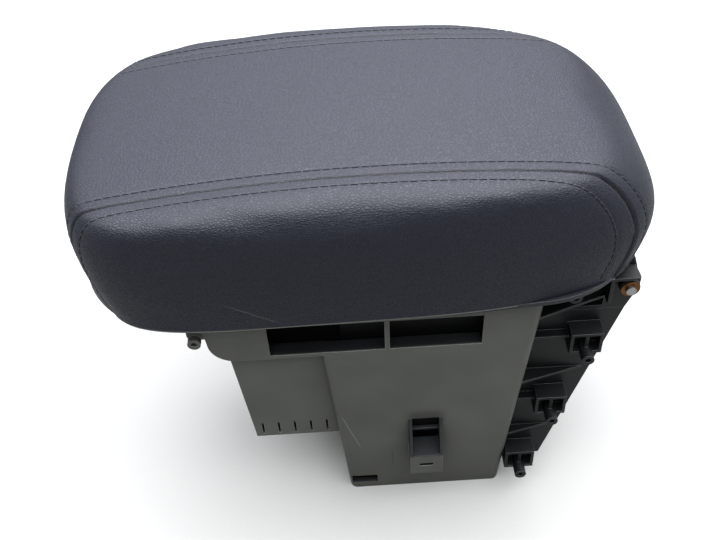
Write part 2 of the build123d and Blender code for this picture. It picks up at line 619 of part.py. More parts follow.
# Rear frame: base plate on the bin, two side plates, a shelf, pedestals with screw bosses
with BuildPart() as rear_frame:
    with BuildSketch(rear_plane):
        with Locations((0, FRAME_BOTTOM_Z * up)):
            Rectangle(
                2 * FRAME_PLATE_Y,
                (SHELF_TOP_Z - FRAME_BOTTOM_Z) * up,
                align=(Align.CENTER, Align.MIN),
            )
    extrude(amount=FRAME_PLATE)
    span_box(
        (rear_face_x(SHELF_TOP_Z), -FRAME_PLATE_Y, SHELF_TOP_Z - SHELF_THICKNESS),
        (FRAME_TOP_X - SHELF_THICKNESS, FRAME_PLATE_Y, SHELF_TOP_Z),
    )
    with Locations((FOOT_SCREW_MIDDLE_X, 0, SHELF_TOP_Z)):
        with GridLocations(FOOT_SCREW_PITCH_X, FOOT_SCREW_PITCH_Y, 2, 2):
            Cylinder(SCREW_BOSS_RADIUS, FOOT_BOSS_LENGTH, align=hangs_from)
    for side in sides:
        with BuildSketch(across_plane(side, FRAME_PLATE_Y - FRAME_PLATE)):
            with BuildLine():
                Polyline(
                    spot(side, rear_face_x(FRAME_BOTTOM_Z), FRAME_BOTTOM_Z),
                    spot(side, FRAME_FOOT_X, FRAME_BOTTOM_Z),
                    spot(side, FRAME_TOP_X, SHELF_TOP_Z),
                    spot(side, rear_face_x(SHELF_TOP_Z), SHELF_TOP_Z),
                    close=True,
                )
            make_face()
        extrude(amount=FRAME_PLATE)
        for k in range(PEDESTAL_COUNT):
            x = PEDESTAL_FIRST_X + k * PEDESTAL_PITCH_X
            z = PEDESTAL_FIRST_Z + k * PEDESTAL_PITCH_Z
            fin_height = BOSS_DROP + PEDESTAL_HEIGHT / 2
            with BuildSketch(across_plane(side, FRAME_PLATE_Y)):
                with Locations(spot(side, x, z)):
                    Rectangle(PEDESTAL_WIDTH, PEDESTAL_HEIGHT)
            extrude(amount=PEDESTAL_FACE_Y - FRAME_PLATE_Y)
            with BuildSketch(across_plane(side, PEDESTAL_FACE_Y)):
                with Locations(spot(side, x, z)):
                    Rectangle(PEDESTAL_WIDTH - 2 * PEDESTAL_WALL, PEDESTAL_HEIGHT - 2 * PEDESTAL_WALL)
            extrude(amount=-PEDESTAL_POCKET, mode=Mode.SUBTRACT)
            with BuildSketch(across_plane(side, FRAME_PLATE_Y)):
                with Locations(spot(side, x, z - BOSS_DROP)):
                    Rectangle(PEDESTAL_WALL, fin_height, align=(Align.CENTER, Align.MIN))
            extrude(amount=PEDESTAL_FACE_Y - FRAME_PLATE_Y)
            rod(side, x, z - BOSS_DROP, BOSS_RADIUS, FRAME_PLATE_Y, BOSS_FACE_Y)
            plate_inner_y = FRAME_PLATE_Y - FRAME_PLATE
            rod(side, x, z - BOSS_DROP, BOSS_BORE_RADIUS, plate_inner_y, BOSS_FACE_Y, Mode.SUBTRACT)
            if x - PEDESTAL_WIDTH / 2 > rear_face_x(z):
                with BuildSketch(across_plane(side, FRAME_PLATE_Y)):
                    with BuildLine():
                        Polyline(
                            spot(side, rear_face_x(z + GUSSET_THICKNESS), z),
                            spot(side, x - PEDESTAL_WIDTH / 2, z),
                            spot(side, x - PEDESTAL_WIDTH / 2, z + GUSSET_THICKNESS),
                            spot(side, rear_face_x(z + GUSSET_THICKNESS), z + GUSSET_THICKNESS),
                            close=True,
                        )
                    make_face()
                extrude(amount=(PEDESTAL_FACE_Y - FRAME_PLATE_Y) / 2)
            rib_z = z - GUSSET_DROP
            if rib_z > FRAME_BOTTOM_Z:
                rib_x = rear_face_x(rib_z + GUSSET_THICKNESS)
                with BuildSketch(Plane.XY.offset(rib_z)):
                    with BuildLine():
                        Polyline(
                            (rib_x, side * (FRAME_PLATE_Y - FRAME_PLATE)),
                            (rib_x, side * (near_face_y(rib_z) - GUSSET_SETBACK)),
                            (frame_rear_x(rib_z) - GUSSET_SETBACK, side * FRAME_PLATE_Y),
                            (frame_rear_x(rib_z) - GUSSET_SETBACK, side * (FRAME_PLATE_Y - FRAME_PLATE)),
                            close=True,
                        )
                    make_face()
                extrude(amount=GUSSET_THICKNESS)
    with Locations((FOOT_SCREW_MIDDLE_X, 0, SHELF_TOP_Z)):
        with GridLocations(FOOT_SCREW_PITCH_X, FOOT_SCREW_PITCH_Y, 2, 2):
            Cylinder(screw_hole, SCREW_GRIP, align=hangs_from, mode=Mode.SUBTRACT)
    with Locations(rear_plane):
        with Locations(*frame_spots):
            Cylinder(screw_hole, 2 * FRAME_PLATE, mode=Mode.SUBTRACT)

rear_frame_screws = screw_group(
    rear_plane.offset(FRAME_PLATE), frame_spots, FRAME_PLATE + SCREW_GRIP - SCREW_FIT
)

# Hinge bracket: foot, two ears with hubs and hoods, side wings with a screw boss
with BuildPart() as hinge_bracket:
    span_box(
        (BRACKET_FRONT_X, -FRAME_PLATE_Y, SHELF_TOP_Z),
        (FRAME_TOP_X, FRAME_PLATE_Y, SHELF_TOP_Z + BRACKET_FOOT),
    )
    for side in sides:
        rail_inner = RAIL_Y - EAR_THICKNESS
        with BuildSketch(across_plane(side, FRAME_PLATE_Y - EAR_THICKNESS)):
            with BuildLine():
                Polyline(
                    spot(side, EAR_FRONT_X, SHELF_TOP_Z),
                    spot(side, FRAME_TOP_X, SHELF_TOP_Z),
                    spot(side, HINGE_X + EAR_HEAD_RADIUS, HINGE_Z - EAR_HEAD_RADIUS / 2),
                    spot(side, HINGE_X + EAR_HEAD_RADIUS, HINGE_Z + EAR_HEAD_RADIUS / 2),
                    spot(side, HINGE_X + EAR_HEAD_RADIUS / 2, EAR_TOP_Z),
                    spot(side, EAR_FRONT_X, EAR_TOP_Z),
                    close=True,
                )
            make_face()
        extrude(amount=EAR_THICKNESS)
        with BuildSketch(across_plane(side, rail_inner)):
            with BuildLine():
                Polyline(
                    spot(side, BRACKET_FRONT_X, SHELF_TOP_Z),
                    spot(side, EAR_FRONT_X + HOOD_WALL, SHELF_TOP_Z),
                    spot(side, EAR_FRONT_X + HOOD_WALL, WING_Z + GUSSET_THICKNESS),
                    spot(side, BRACKET_FRONT_X, WING_Z + GUSSET_THICKNESS),
                    close=True,
                )
            make_face()
        extrude(amount=EAR_THICKNESS)
        wing_x = rear_face_x(WING_Z + GUSSET_THICKNESS)
        with BuildSketch(Plane.XY.offset(WING_Z)):
            with BuildLine():
                Polyline(
                    (wing_x, side * rail_inner),
                    (wing_x, side * (near_face_y(WING_Z) - GUSSET_SETBACK)),
                    (EAR_FRONT_X + HOOD_WALL, side * FRAME_PLATE_Y),
                    (EAR_FRONT_X + HOOD_WALL, side * rail_inner),
                    close=True,
                )
            make_face()
        extrude(amount=GUSSET_THICKNESS)
        with BuildSketch(across_plane(side, rail_inner)):
            with Locations(spot(side, TOP_BOSS_X, WING_Z)):
                Rectangle(PEDESTAL_WALL, TOP_BOSS_Z - WING_Z, align=(Align.CENTER, Align.MIN))
        extrude(amount=FRAME_PLATE_Y - rail_inner + EAR_THICKNESS)
        rod(side, TOP_BOSS_X, TOP_BOSS_Z, BOSS_RADIUS, rail_inner, TOP_BOSS_FACE_Y)
        rod(side, TOP_BOSS_X, TOP_BOSS_Z, BOSS_BORE_RADIUS, rail_inner, TOP_BOSS_FACE_Y, Mode.SUBTRACT)
        with BuildSketch(across_plane(side, FRAME_PLATE_Y)):
            with BuildLine():
                Polyline(
                    spot(side, EAR_FRONT_X, HOOD_BOTTOM_Z),
                    spot(side, EAR_FRONT_X + HOOD_WALL, HOOD_BOTTOM_Z),
                    spot(side, EAR_FRONT_X + HOOD_WALL, EAR_TOP_Z - HOOD_WALL),
                    spot(side, HINGE_X + EAR_HEAD_RADIUS / 2, EAR_TOP_Z - HOOD_WALL),
                    spot(side, HINGE_X + EAR_HEAD_RADIUS / 2, EAR_TOP_Z),
                    spot(side, EAR_FRONT_X, EAR_TOP_Z),
                    close=True,
                )
            make_face()
        extrude(amount=HOOD_FACE_Y - FRAME_PLATE_Y)
        rod(side, HINGE_X, HINGE_Z, HUB_RADIUS, FRAME_PLATE_Y, HUB_FACE_Y)
        rod(side, HINGE_X, HINGE_Z, pin_hole, rail_inner, HOOD_FACE_Y, Mode.SUBTRACT)
    with Locations((FOOT_SCREW_MIDDLE_X, 0, SHELF_TOP_Z)):
        with GridLocations(FOOT_SCREW_PITCH_X, FOOT_SCREW_PITCH_Y, 2, 2):
            Cylinder(screw_hole, 2 * BRACKET_FOOT, align=sits_on, mode=Mode.SUBTRACT)

foot_spots = [
    (FOOT_SCREW_MIDDLE_X + end * FOOT_SCREW_PITCH_X / 2, side * FOOT_SCREW_PITCH_Y / 2)
    for end in sides
    for side in sides
]
hinge_bracket_screws = screw_group(
    Plane.XY.offset(SHELF_TOP_Z + BRACKET_FOOT), foot_spots, BRACKET_FOOT + SCREW_GRIP - SCREW_FIT
)

with BuildPart() as hinge_pin:
    with Locations((HINGE_X, 0, HINGE_Z)):
        Cylinder(PIN_RADIUS, 2 * PIN_HALF_LENGTH, rotation=(90, 0, 0))

with BuildPart() as hinge_pin_rings:
    for side in sides:
        rod(side, HINGE_X, HINGE_Z, RING_RADIUS, HUB_FACE_Y, HUB_FACE_Y + RING_THICKNESS)
        rod(side, HINGE_X, HINGE_Z, pin_hole, HUB_FACE_Y, HUB_FACE_Y + RING_THICKNESS, Mode.SUBTRACT)

# Hinge leaf under the lid: plate and two ears on the pin
leaf_outer_y = FRAME_PLATE_Y - EAR_THICKNESS - SIDE_PLAY
leaf_spots = [
    (LEAF_SCREW_MIDDLE_X + end * LEAF_SCREW_PITCH_X / 2, side * LEAF_SCREW_PITCH_Y / 2)
    for end in sides
    for side in sides
]
with BuildPart() as hinge_leaf:
    span_box(
        (LEAF_FRONT_X, -leaf_outer_y, LID_BOTTOM_Z - LEAF_THICKNESS),
        (LEAF_REAR_X, leaf_outer_y, LID_BOTTOM_Z),
    )
    for side in sides:
        with BuildSketch(across_plane(side, leaf_outer_y - LEAF_EAR)):
            with BuildLine():
                Polyline(
                    spot(side, LEAF_EAR_FRONT_X, LID_BOTTOM_Z),
                    spot(side, LEAF_REAR_X, LID_BOTTOM_Z),
                    spot(side, HINGE_X + LEAF_HEAD_RADIUS, HINGE_Z),
                    spot(side, HINGE_X - LEAF_HEAD_RADIUS, HINGE_Z),
                    close=True,
                )
            make_face()
            with Locations(spot(side, HINGE_X, HINGE_Z)):
                Circle(LEAF_HEAD_RADIUS)
        extrude(amount=LEAF_EAR)
        hole_inner_y = leaf_outer_y - 2 * LEAF_EAR
        rod(side, HINGE_X, HINGE_Z, pin_hole, hole_inner_y, leaf_outer_y + LEAF_EAR, Mode.SUBTRACT)
    with Locations(*[(x, y, LID_BOTTOM_Z) for x, y in leaf_spots]):
        Cylinder(screw_hole, 2 * LEAF_THICKNESS + LEAF_EAR, mode=Mode.SUBTRACT)

under_lid = Plane(origin=(0, 0, LID_BOTTOM_Z), x_dir=(1, 0, 0), z_dir=(0, 0, -1))
hinge_leaf_screws = screw_group(
    under_lid.offset(LEAF_THICKNESS), leaf_spots, LEAF_THICKNESS + SCREW_GRIP - SCREW_FIT
)

# Lid layers, from the inside outwards
foam_inset = COVER_THICKNESS + LAYER_FIT
carrier_inset = foam_inset + FOAM_THICKNESS + LAYER_FIT
column_spots = [
    (COLUMN_MIDDLE_X + (k - (COLUMNS_ALONG - 1) / 2) * COLUMN_PITCH_X, side * COLUMN_PITCH_Y / 2)
    for k in range(COLUMNS_ALONG)
    for side in sides
]
cover_form = lid_block(0, BASE_FLANGE)
cover_room = lid_block(COVER_THICKNESS, 0)
foam_form = lid_block(foam_inset, BASE_THICKNESS)
foam_room = lid_block(foam_inset + FOAM_THICKNESS, 0)
carrier_form = lid_block(carrier_inset, BASE_THICKNESS)
carrier_room = lid_block(carrier_inset + CARRIER_WALL, 0)

flange_form = lid_block(BASE_FLANGE_INSET, 0)
base_form = lid_block(foam_inset, 0)

with BuildPart() as base_flange:
    add(flange_form)
    split(bisect_by=Plane.XY.offset(LID_BOTTOM_Z + BASE_FLANGE), keep=Keep.BOTTOM)

with BuildPart() as base_plate:
    add(base_form)
    split(bisect_by=Plane.XY.offset(base_top_z), keep=Keep.BOTTOM)

with BuildPart() as lid_base:
    add(base_flange.part)
    add(base_plate.part)
    span_box(
        (POCKET_FRONT_X - POCKET_WALL, -POCKET_HALF_WIDTH - POCKET_WALL, LID_BOTTOM_Z),
        (POCKET_REAR_X + POCKET_WALL, POCKET_HALF_WIDTH + POCKET_WALL, LID_BOTTOM_Z + POCKET_HEIGHT),
    )
    span_box(
        (POCKET_FRONT_X, -POCKET_HALF_WIDTH, LID_BOTTOM_Z - POCKET_WALL),
        (POCKET_REAR_X, POCKET_HALF_WIDTH, LID_BOTTOM_Z + POCKET_HEIGHT - POCKET_WALL),
        Mode.SUBTRACT,
    )
    with Locations((LATCH_X, 0, LATCH_Z)):
        Cylinder(
            LATCH_PIN_RADIUS + RUNNING_FIT,
            2 * (POCKET_HALF_WIDTH + 2 * POCKET_WALL),
            rotation=(90, 0, 0),
            mode=Mode.SUBTRACT,
        )
    with Locations(under_lid):
        with Locations(*leaf_spots):
            Cylinder(SCREW_BOSS_RADIUS, LEAF_BOSS_HEIGHT, align=hangs_from)
            Cylinder(screw_hole, SCREW_GRIP, align=hangs_from, mode=Mode.SUBTRACT)
        with Locations(*column_spots):
            Cylinder(BASE_PAD_RADIUS, BASE_PAD_HEIGHT, align=hangs_from)
            CounterBoreHole(
                screw_hole,
                SCREW_HEAD_RADIUS + COUNTERBORE_CLEARANCE,
                SCREW_HEAD_HEIGHT + COUNTERBORE_CLEARANCE,
                BASE_PAD_HEIGHT,
            )

with BuildPart() as carrier_columns:
    with Locations(*[(x, y, LID_BOTTOM_Z + BASE_PAD_HEIGHT) for x, y in column_spots]):
        Cylinder(COLUMN_RADIUS, LID_HEIGHT, align=sits_on)
    add(carrier_form, mode=Mode.INTERSECT)

with BuildPart() as lid_carrier:
    add(carrier_form)
    add(carrier_room, mode=Mode.SUBTRACT)
    add(carrier_columns.part)
    with Locations(*[(x, y, LID_BOTTOM_Z + BASE_PAD_HEIGHT) for x, y in column_spots]):
        Cylinder(screw_hole, SCREW_GRIP, align=sits_on, mode=Mode.SUBTRACT)

head_seat = SCREW_HEAD_HEIGHT + COUNTERBORE_CLEARANCE
lid_base_screws = screw_group(
    under_lid.offset(-head_seat), column_spots, BASE_PAD_HEIGHT - head_seat + SCREW_GRIP - SCREW_FIT
)

with BuildPart() as lid_foam:
    add(foam_form)
    add(foam_room, mode=Mode.SUBTRACT)

with BuildPart() as cover_shell:
    add(cover_form)
    add(cover_room, mode=Mode.SUBTRACT)

with BuildPart() as cover_centre_panel:
    add(cover_shell.part)
    split(bisect_by=Plane.XZ.offset(SEAM_Y), keep=Keep.BOTTOM)
    split(bisect_by=Plane.XZ.offset(-SEAM_Y), keep=Keep.TOP)

with BuildPart() as cover_near_panel:
    add(cover_shell.part)
    split(bisect_by=Plane.XZ.offset(SEAM_Y), keep=Keep.TOP)

with BuildPart() as cover_far_panel:
    add(cover_shell.part)
    split(bisect_by=Plane.XZ.offset(-SEAM_Y), keep=Keep.BOTTOM)

# Latch: striker on the bin, lever with paddle and hook in the lid
with BuildPart() as latch_striker:
    span_box(
        (STRIKER_FACE_X - STRIKER_THICKNESS, -STRIKER_HALF_WIDTH, STRIKER_BOTTOM_Z),
        (STRIKER_FACE_X, STRIKER_HALF_WIDTH, STRIKER_TOP_Z),
    )
    span_box(
        (STRIKER_FACE_X - STRIKER_REACH, -STRIKER_HALF_WIDTH, STRIKER_TOP_Z - STRIKER_THICKNESS),
        (STRIKER_FACE_X, STRIKER_HALF_WIDTH, STRIKER_TOP_Z),
    )
    for end in sides:
        with Locations((STRIKER_FACE_X, end * STRIKER_SCREW_PITCH / 2, STRIKER_SCREW_Z)):
            Cylinder(screw_hole, 4 * STRIKER_THICKNESS, rotation=(0, 90, 0), mode=Mode.SUBTRACT)

striker_plane = Plane(origin=(STRIKER_FACE_X - STRIKER_THICKNESS, 0, 0), x_dir=(0, -1, 0), z_dir=(-1, 0, 0))
latch_striker_screws = screw_group(
    striker_plane,
    [(end * STRIKER_SCREW_PITCH / 2, STRIKER_SCREW_Z) for end in sides],
    STRIKER_THICKNESS + SCREW_GRIP - SCREW_FIT,
)

tooth_top = STRIKER_TOP_Z - STRIKER_THICKNESS - HOOK_GAP
hook_front_x = LATCH_X - HOOK_THICKNESS / 2
hook_rear_x = LATCH_X + HOOK_THICKNESS / 2
paddle_z = LID_BOTTOM_Z + PADDLE_RAISE
with BuildPart() as latch_lever:
    span_box(
        (PADDLE_FRONT_X, -PADDLE_HALF_WIDTH, paddle_z),
        (LATCH_X, PADDLE_HALF_WIDTH, paddle_z + PADDLE_THICKNESS),
    )
    rod(-1, LATCH_X, LATCH_Z, LATCH_HUB_RADIUS, -LATCH_HUB_END_Y, PADDLE_HALF_WIDTH)
    span_box(
        (hook_front_x, -HOOK_HALF_WIDTH, tooth_top - HOOK_TOOTH_HEIGHT),
        (hook_rear_x, HOOK_HALF_WIDTH, LATCH_Z),
    )
    span_box(
        (hook_rear_x, -HOOK_HALF_WIDTH, tooth_top - HOOK_TOOTH_HEIGHT),
        (hook_rear_x + HOOK_TOOTH, HOOK_HALF_WIDTH, tooth_top),
    )
    lever_hole = LATCH_PIN_RADIUS + RUNNING_FIT
    rod(-1, LATCH_X, LATCH_Z, lever_hole, -PADDLE_HALF_WIDTH, POCKET_HALF_WIDTH, Mode.SUBTRACT)

with BuildPart() as latch_pin:
    with Locations((LATCH_X, 0, LATCH_Z)):
        Cylinder(LATCH_PIN_RADIUS, 2 * (POCKET_HALF_WIDTH + POCKET_WALL), rotation=(90, 0, 0))

with BuildPart() as latch_spring:
    with BuildLine():
        coil = Helix(
            SPRING_PITCH,
            SPRING_LENGTH,
            SPRING_RADIUS,
            center=(LATCH_X, SPRING_START_Y, LATCH_Z),
            direction=(0, 1, 0),
        )
    with BuildSketch(Plane(origin=coil @ 0, z_dir=coil % 0)):
        Circle(SPRING_WIRE_RADIUS)
    sweep(path=coil, is_frenet=True)

pieces = {
    "storage_bin": storage_bin.part,
    "bin_liner": bin_liner.part,
    "rim_buffers": rim_buffers.part,
    "rear_frame": rear_frame.part,
    "rear_frame_screws": rear_frame_screws,
    "hinge_bracket": hinge_bracket.part,
    "hinge_bracket_screws": hinge_bracket_screws,
    "hinge_pin": hinge_pin.part,
    "hinge_pin_rings": hinge_pin_rings.part,
    "hinge_leaf": hinge_leaf.part,
    "hinge_leaf_screws": hinge_leaf_screws,
    "lid_base": lid_base.part,
    "lid_base_screws": lid_base_screws,
    "lid_carrier": lid_carrier.part,
    "lid_foam": lid_foam.part,
    "cover_centre_panel": cover_centre_panel.part,
    "cover_near_panel": cover_near_panel.part,
    "cover_far_panel": cover_far_panel.part,
    "latch_striker": latch_striker.part,
    "latch_striker_screws": latch_striker_screws,
    "latch_lever": latch_lever.part,
    "latch_pin": latch_pin.part,
    "latch_spring": latch_spring.part,
}

os.makedirs("parts", exist_ok=True)
for name, piece in pieces.items():
    piece.label = name
    export_step(piece, f"parts/{name}.step")
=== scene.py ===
"""Car centre armrest: the padded lid, its bin and its hinge, dressed around the CAD frame."""

import logging
import math
from collections.abc import Callable, Iterator
from contextlib import contextmanager
from dataclasses import dataclass, field
from enum import Enum

import bpy
import numpy as np
from mathutils import Matrix, Vector
from mathutils.bvhtree import BVHTree


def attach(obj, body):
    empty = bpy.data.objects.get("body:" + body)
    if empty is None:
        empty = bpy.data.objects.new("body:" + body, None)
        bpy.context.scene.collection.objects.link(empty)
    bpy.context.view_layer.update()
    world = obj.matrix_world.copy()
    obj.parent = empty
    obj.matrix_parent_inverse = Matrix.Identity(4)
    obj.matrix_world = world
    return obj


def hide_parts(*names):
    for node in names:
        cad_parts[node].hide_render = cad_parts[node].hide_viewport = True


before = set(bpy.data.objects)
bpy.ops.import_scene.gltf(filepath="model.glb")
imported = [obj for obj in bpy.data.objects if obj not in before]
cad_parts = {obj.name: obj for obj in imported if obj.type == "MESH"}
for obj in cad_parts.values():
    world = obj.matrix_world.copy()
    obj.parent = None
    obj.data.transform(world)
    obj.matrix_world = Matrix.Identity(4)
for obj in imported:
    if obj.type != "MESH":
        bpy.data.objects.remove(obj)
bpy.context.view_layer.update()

MM = 0.001
TINY = 1e-6
LID_BODY = "lid"
Array = np.ndarray
Colour = tuple[float, float, float, float]
Triple = tuple[float, float, float]
Pair = tuple[float, float]
log = logging.getLogger("armrest")

MATH = "ShaderNodeMath"
VECTOR_MATH = "ShaderNodeVectorMath"
RANGE = "ShaderNodeMapRange"
NOISE = "ShaderNodeTexNoise"
MIX = "ShaderNodeMixRGB"
MAPPING = "ShaderNodeMapping"
SEPARATE = "ShaderNodeSeparateXYZ"
BUMP = "ShaderNodeBump"


class Panel(Enum):
    """Leatherette panels of the lid, each with the side of the middle it lies on."""

    CENTRE = 0
    NEAR = -1
    FAR = 1


def linear(hex_colour: str) -> Colour:
    """Turn an sRGB hex colour into linear light.

    Args:
        hex_colour: Colour as "#rrggbb".

    Returns:
        Linear red, green, blue and an alpha of one.
    """
    parts = [int(hex_colour[i:i + 2], 16) / 255 for i in (1, 3, 5)]
    light = [c / 12.92 if c <= 0.04045 else ((c + 0.055) / 1.055) ** 2.4 for c in parts]
    return (light[0], light[1], light[2], 1.0)


def plug(tree: bpy.types.NodeTree, node: bpy.types.Node, sockets: dict[str | int, object]) -> None:
    """Set a node's inputs.

    Args:
        tree: Node tree that holds the node.
        node: Node whose inputs are set.
        sockets: Values by socket name or index; an output socket is linked, or a node's first output.
    """
    for name, value in sockets.items():
        source = value.outputs[0] if isinstance(value, bpy.types.Node) else value
        if isinstance(source, bpy.types.NodeSocket):
            tree.links.new(source, node.inputs[name])
        else:
            node.inputs[name].default_value = source


def add_node(
    tree: bpy.types.NodeTree, kind: str, sockets: dict[str | int, object], **settings: object
) -> bpy.types.Node:
    """Add one node with its settings, values and links.

    Args:
        tree: Node tree that gets the node.
        kind: Blender's name of the node type.
        sockets: What its inputs get, as plug takes it.
        settings: Properties of the node by name.

    Returns:
        The new node.
    """
    node = tree.nodes.new(kind)
    for name, value in settings.items():
        setattr(node, name, value)
    plug(tree, node, sockets)
    return node


def ramp(
    tree: bpy.types.NodeTree, value: object, start: float, end: float, top: float = 1.0, soft: bool = False
) -> bpy.types.Node:
    """Add a node that turns a value into a share.

    Args:
        tree: Node tree that gets the node.
        value: Node or output socket with the value.
        start: Value where the share is zero.
        end: Value where the share is full; it may be the smaller one.
        top: The full share.
        soft: Whether the share eases in and out.

    Returns:
        The new node.
    """
    return add_node(
        tree,
        RANGE,
        {"Value": value, "From Min": start, "From Max": end, "To Max": top},
        interpolation_type="SMOOTHSTEP" if soft else "LINEAR",
    )


def new_material(
    name: str,
) -> tuple[bpy.types.Material, bpy.types.NodeTree, bpy.types.Node, bpy.types.NodeSocket]:
    """Start a material.

    Args:
        name: Name of the material.

    Returns:
        The material, its tree, its surface shader and the Object coordinates.
    """
    material = bpy.data.materials.new(name)
    material.use_nodes = True
    tree = material.node_tree
    shader = tree.nodes["Principled BSDF"]
    place = add_node(tree, "ShaderNodeTexCoord", {}).outputs["Object"]
    return material, tree, shader, place


@dataclass(frozen=True)
class Scratch:
    """A thin straight mark in a surface, between two points in millimetres."""

    start: Triple
    end: Triple
    width: float
    strength: float
    colour: str
    wobble_mm: float = 12.0
    sway: float = 1.5
    core_share: float = 0.2
    full_share: float = 0.3
    reach_mm: Pair = (12.0, 10.0)

    def mask(self, tree: bpy.types.NodeTree, place: bpy.types.NodeSocket) -> bpy.types.NodeSocket:
        """Build the nodes that are bright on the mark.

        Args:
            tree: Node tree of the material.
            place: Object coordinates.

        Returns:
            A socket from zero to the mark's strength.
        """
        start, end = Vector(self.start) * MM, Vector(self.end) * MM
        run = end - start
        turn = Vector((1, 0, 0)).rotation_difference(run).to_euler()
        wobble = add_node(tree, NOISE, {"Vector": place, "Scale": 1 / (self.wobble_mm * MM), "Detail": 2.0})
        shifted = add_node(
            tree,
            MIX,
            {0: self.width * MM * self.sway, 1: place, 2: wobble.outputs["Color"]},
            blend_type="LINEAR_LIGHT",
        )
        local = add_node(
            tree,
            MAPPING,
            {"Vector": shifted, "Location": (start + end) / 2, "Rotation": turn},
            vector_type="TEXTURE",
        )
        axes = add_node(tree, SEPARATE, {0: local})
        along, depth, across = [
            add_node(tree, MATH, {0: axes.outputs[axis]}, operation="ABSOLUTE") for axis in "XYZ"
        ]
        ends = ramp(tree, along, run.length / 2, run.length * self.full_share, self.strength, soft=True)
        line = ramp(tree, across, self.width * MM, self.width * MM * self.core_share, soft=True)
        outer, inner = self.reach_mm
        near = ramp(tree, depth, outer * MM, inner * MM)
        both = add_node(tree, MATH, {0: ends, 1: line}, operation="MULTIPLY")
        held = add_node(tree, MATH, {0: both, 1: near}, operation="MULTIPLY")
        return held.outputs[0]


@dataclass(frozen=True)
class ShadedHollow:
    """Painted shade in a recess of a moulding, as a box in millimetres with a soft edge."""

    low: Triple
    high: Triple
    soft: float
    strength: float

    def mask(self, tree: bpy.types.NodeTree, place: bpy.types.NodeSocket) -> bpy.types.NodeSocket:
        """Build the nodes that are bright in the recess.

        Args:
            tree: Node tree of the material.
            place: Object coordinates.

        Returns:
            A socket from zero to the recess's strength.
        """
        low, high = Vector(self.low) * MM, Vector(self.high) * MM
        local = add_node(tree, VECTOR_MATH, {0: place, 1: (low + high) / 2}, operation="SUBTRACT")
        off = add_node(tree, VECTOR_MATH, {0: local}, operation="ABSOLUTE")
        past = add_node(tree, VECTOR_MATH, {0: off, 1: (high - low) / 2}, operation="SUBTRACT")
        out = add_node(tree, VECTOR_MATH, {0: past, 1: (0.0, 0.0, 0.0)}, operation="MAXIMUM")
        gap = add_node(tree, VECTOR_MATH, {0: out}, operation="LENGTH")
        dark = ramp(tree, gap.outputs["Value"], self.soft * MM, 0.0, self.strength, soft=True)
        return dark.outputs[0]


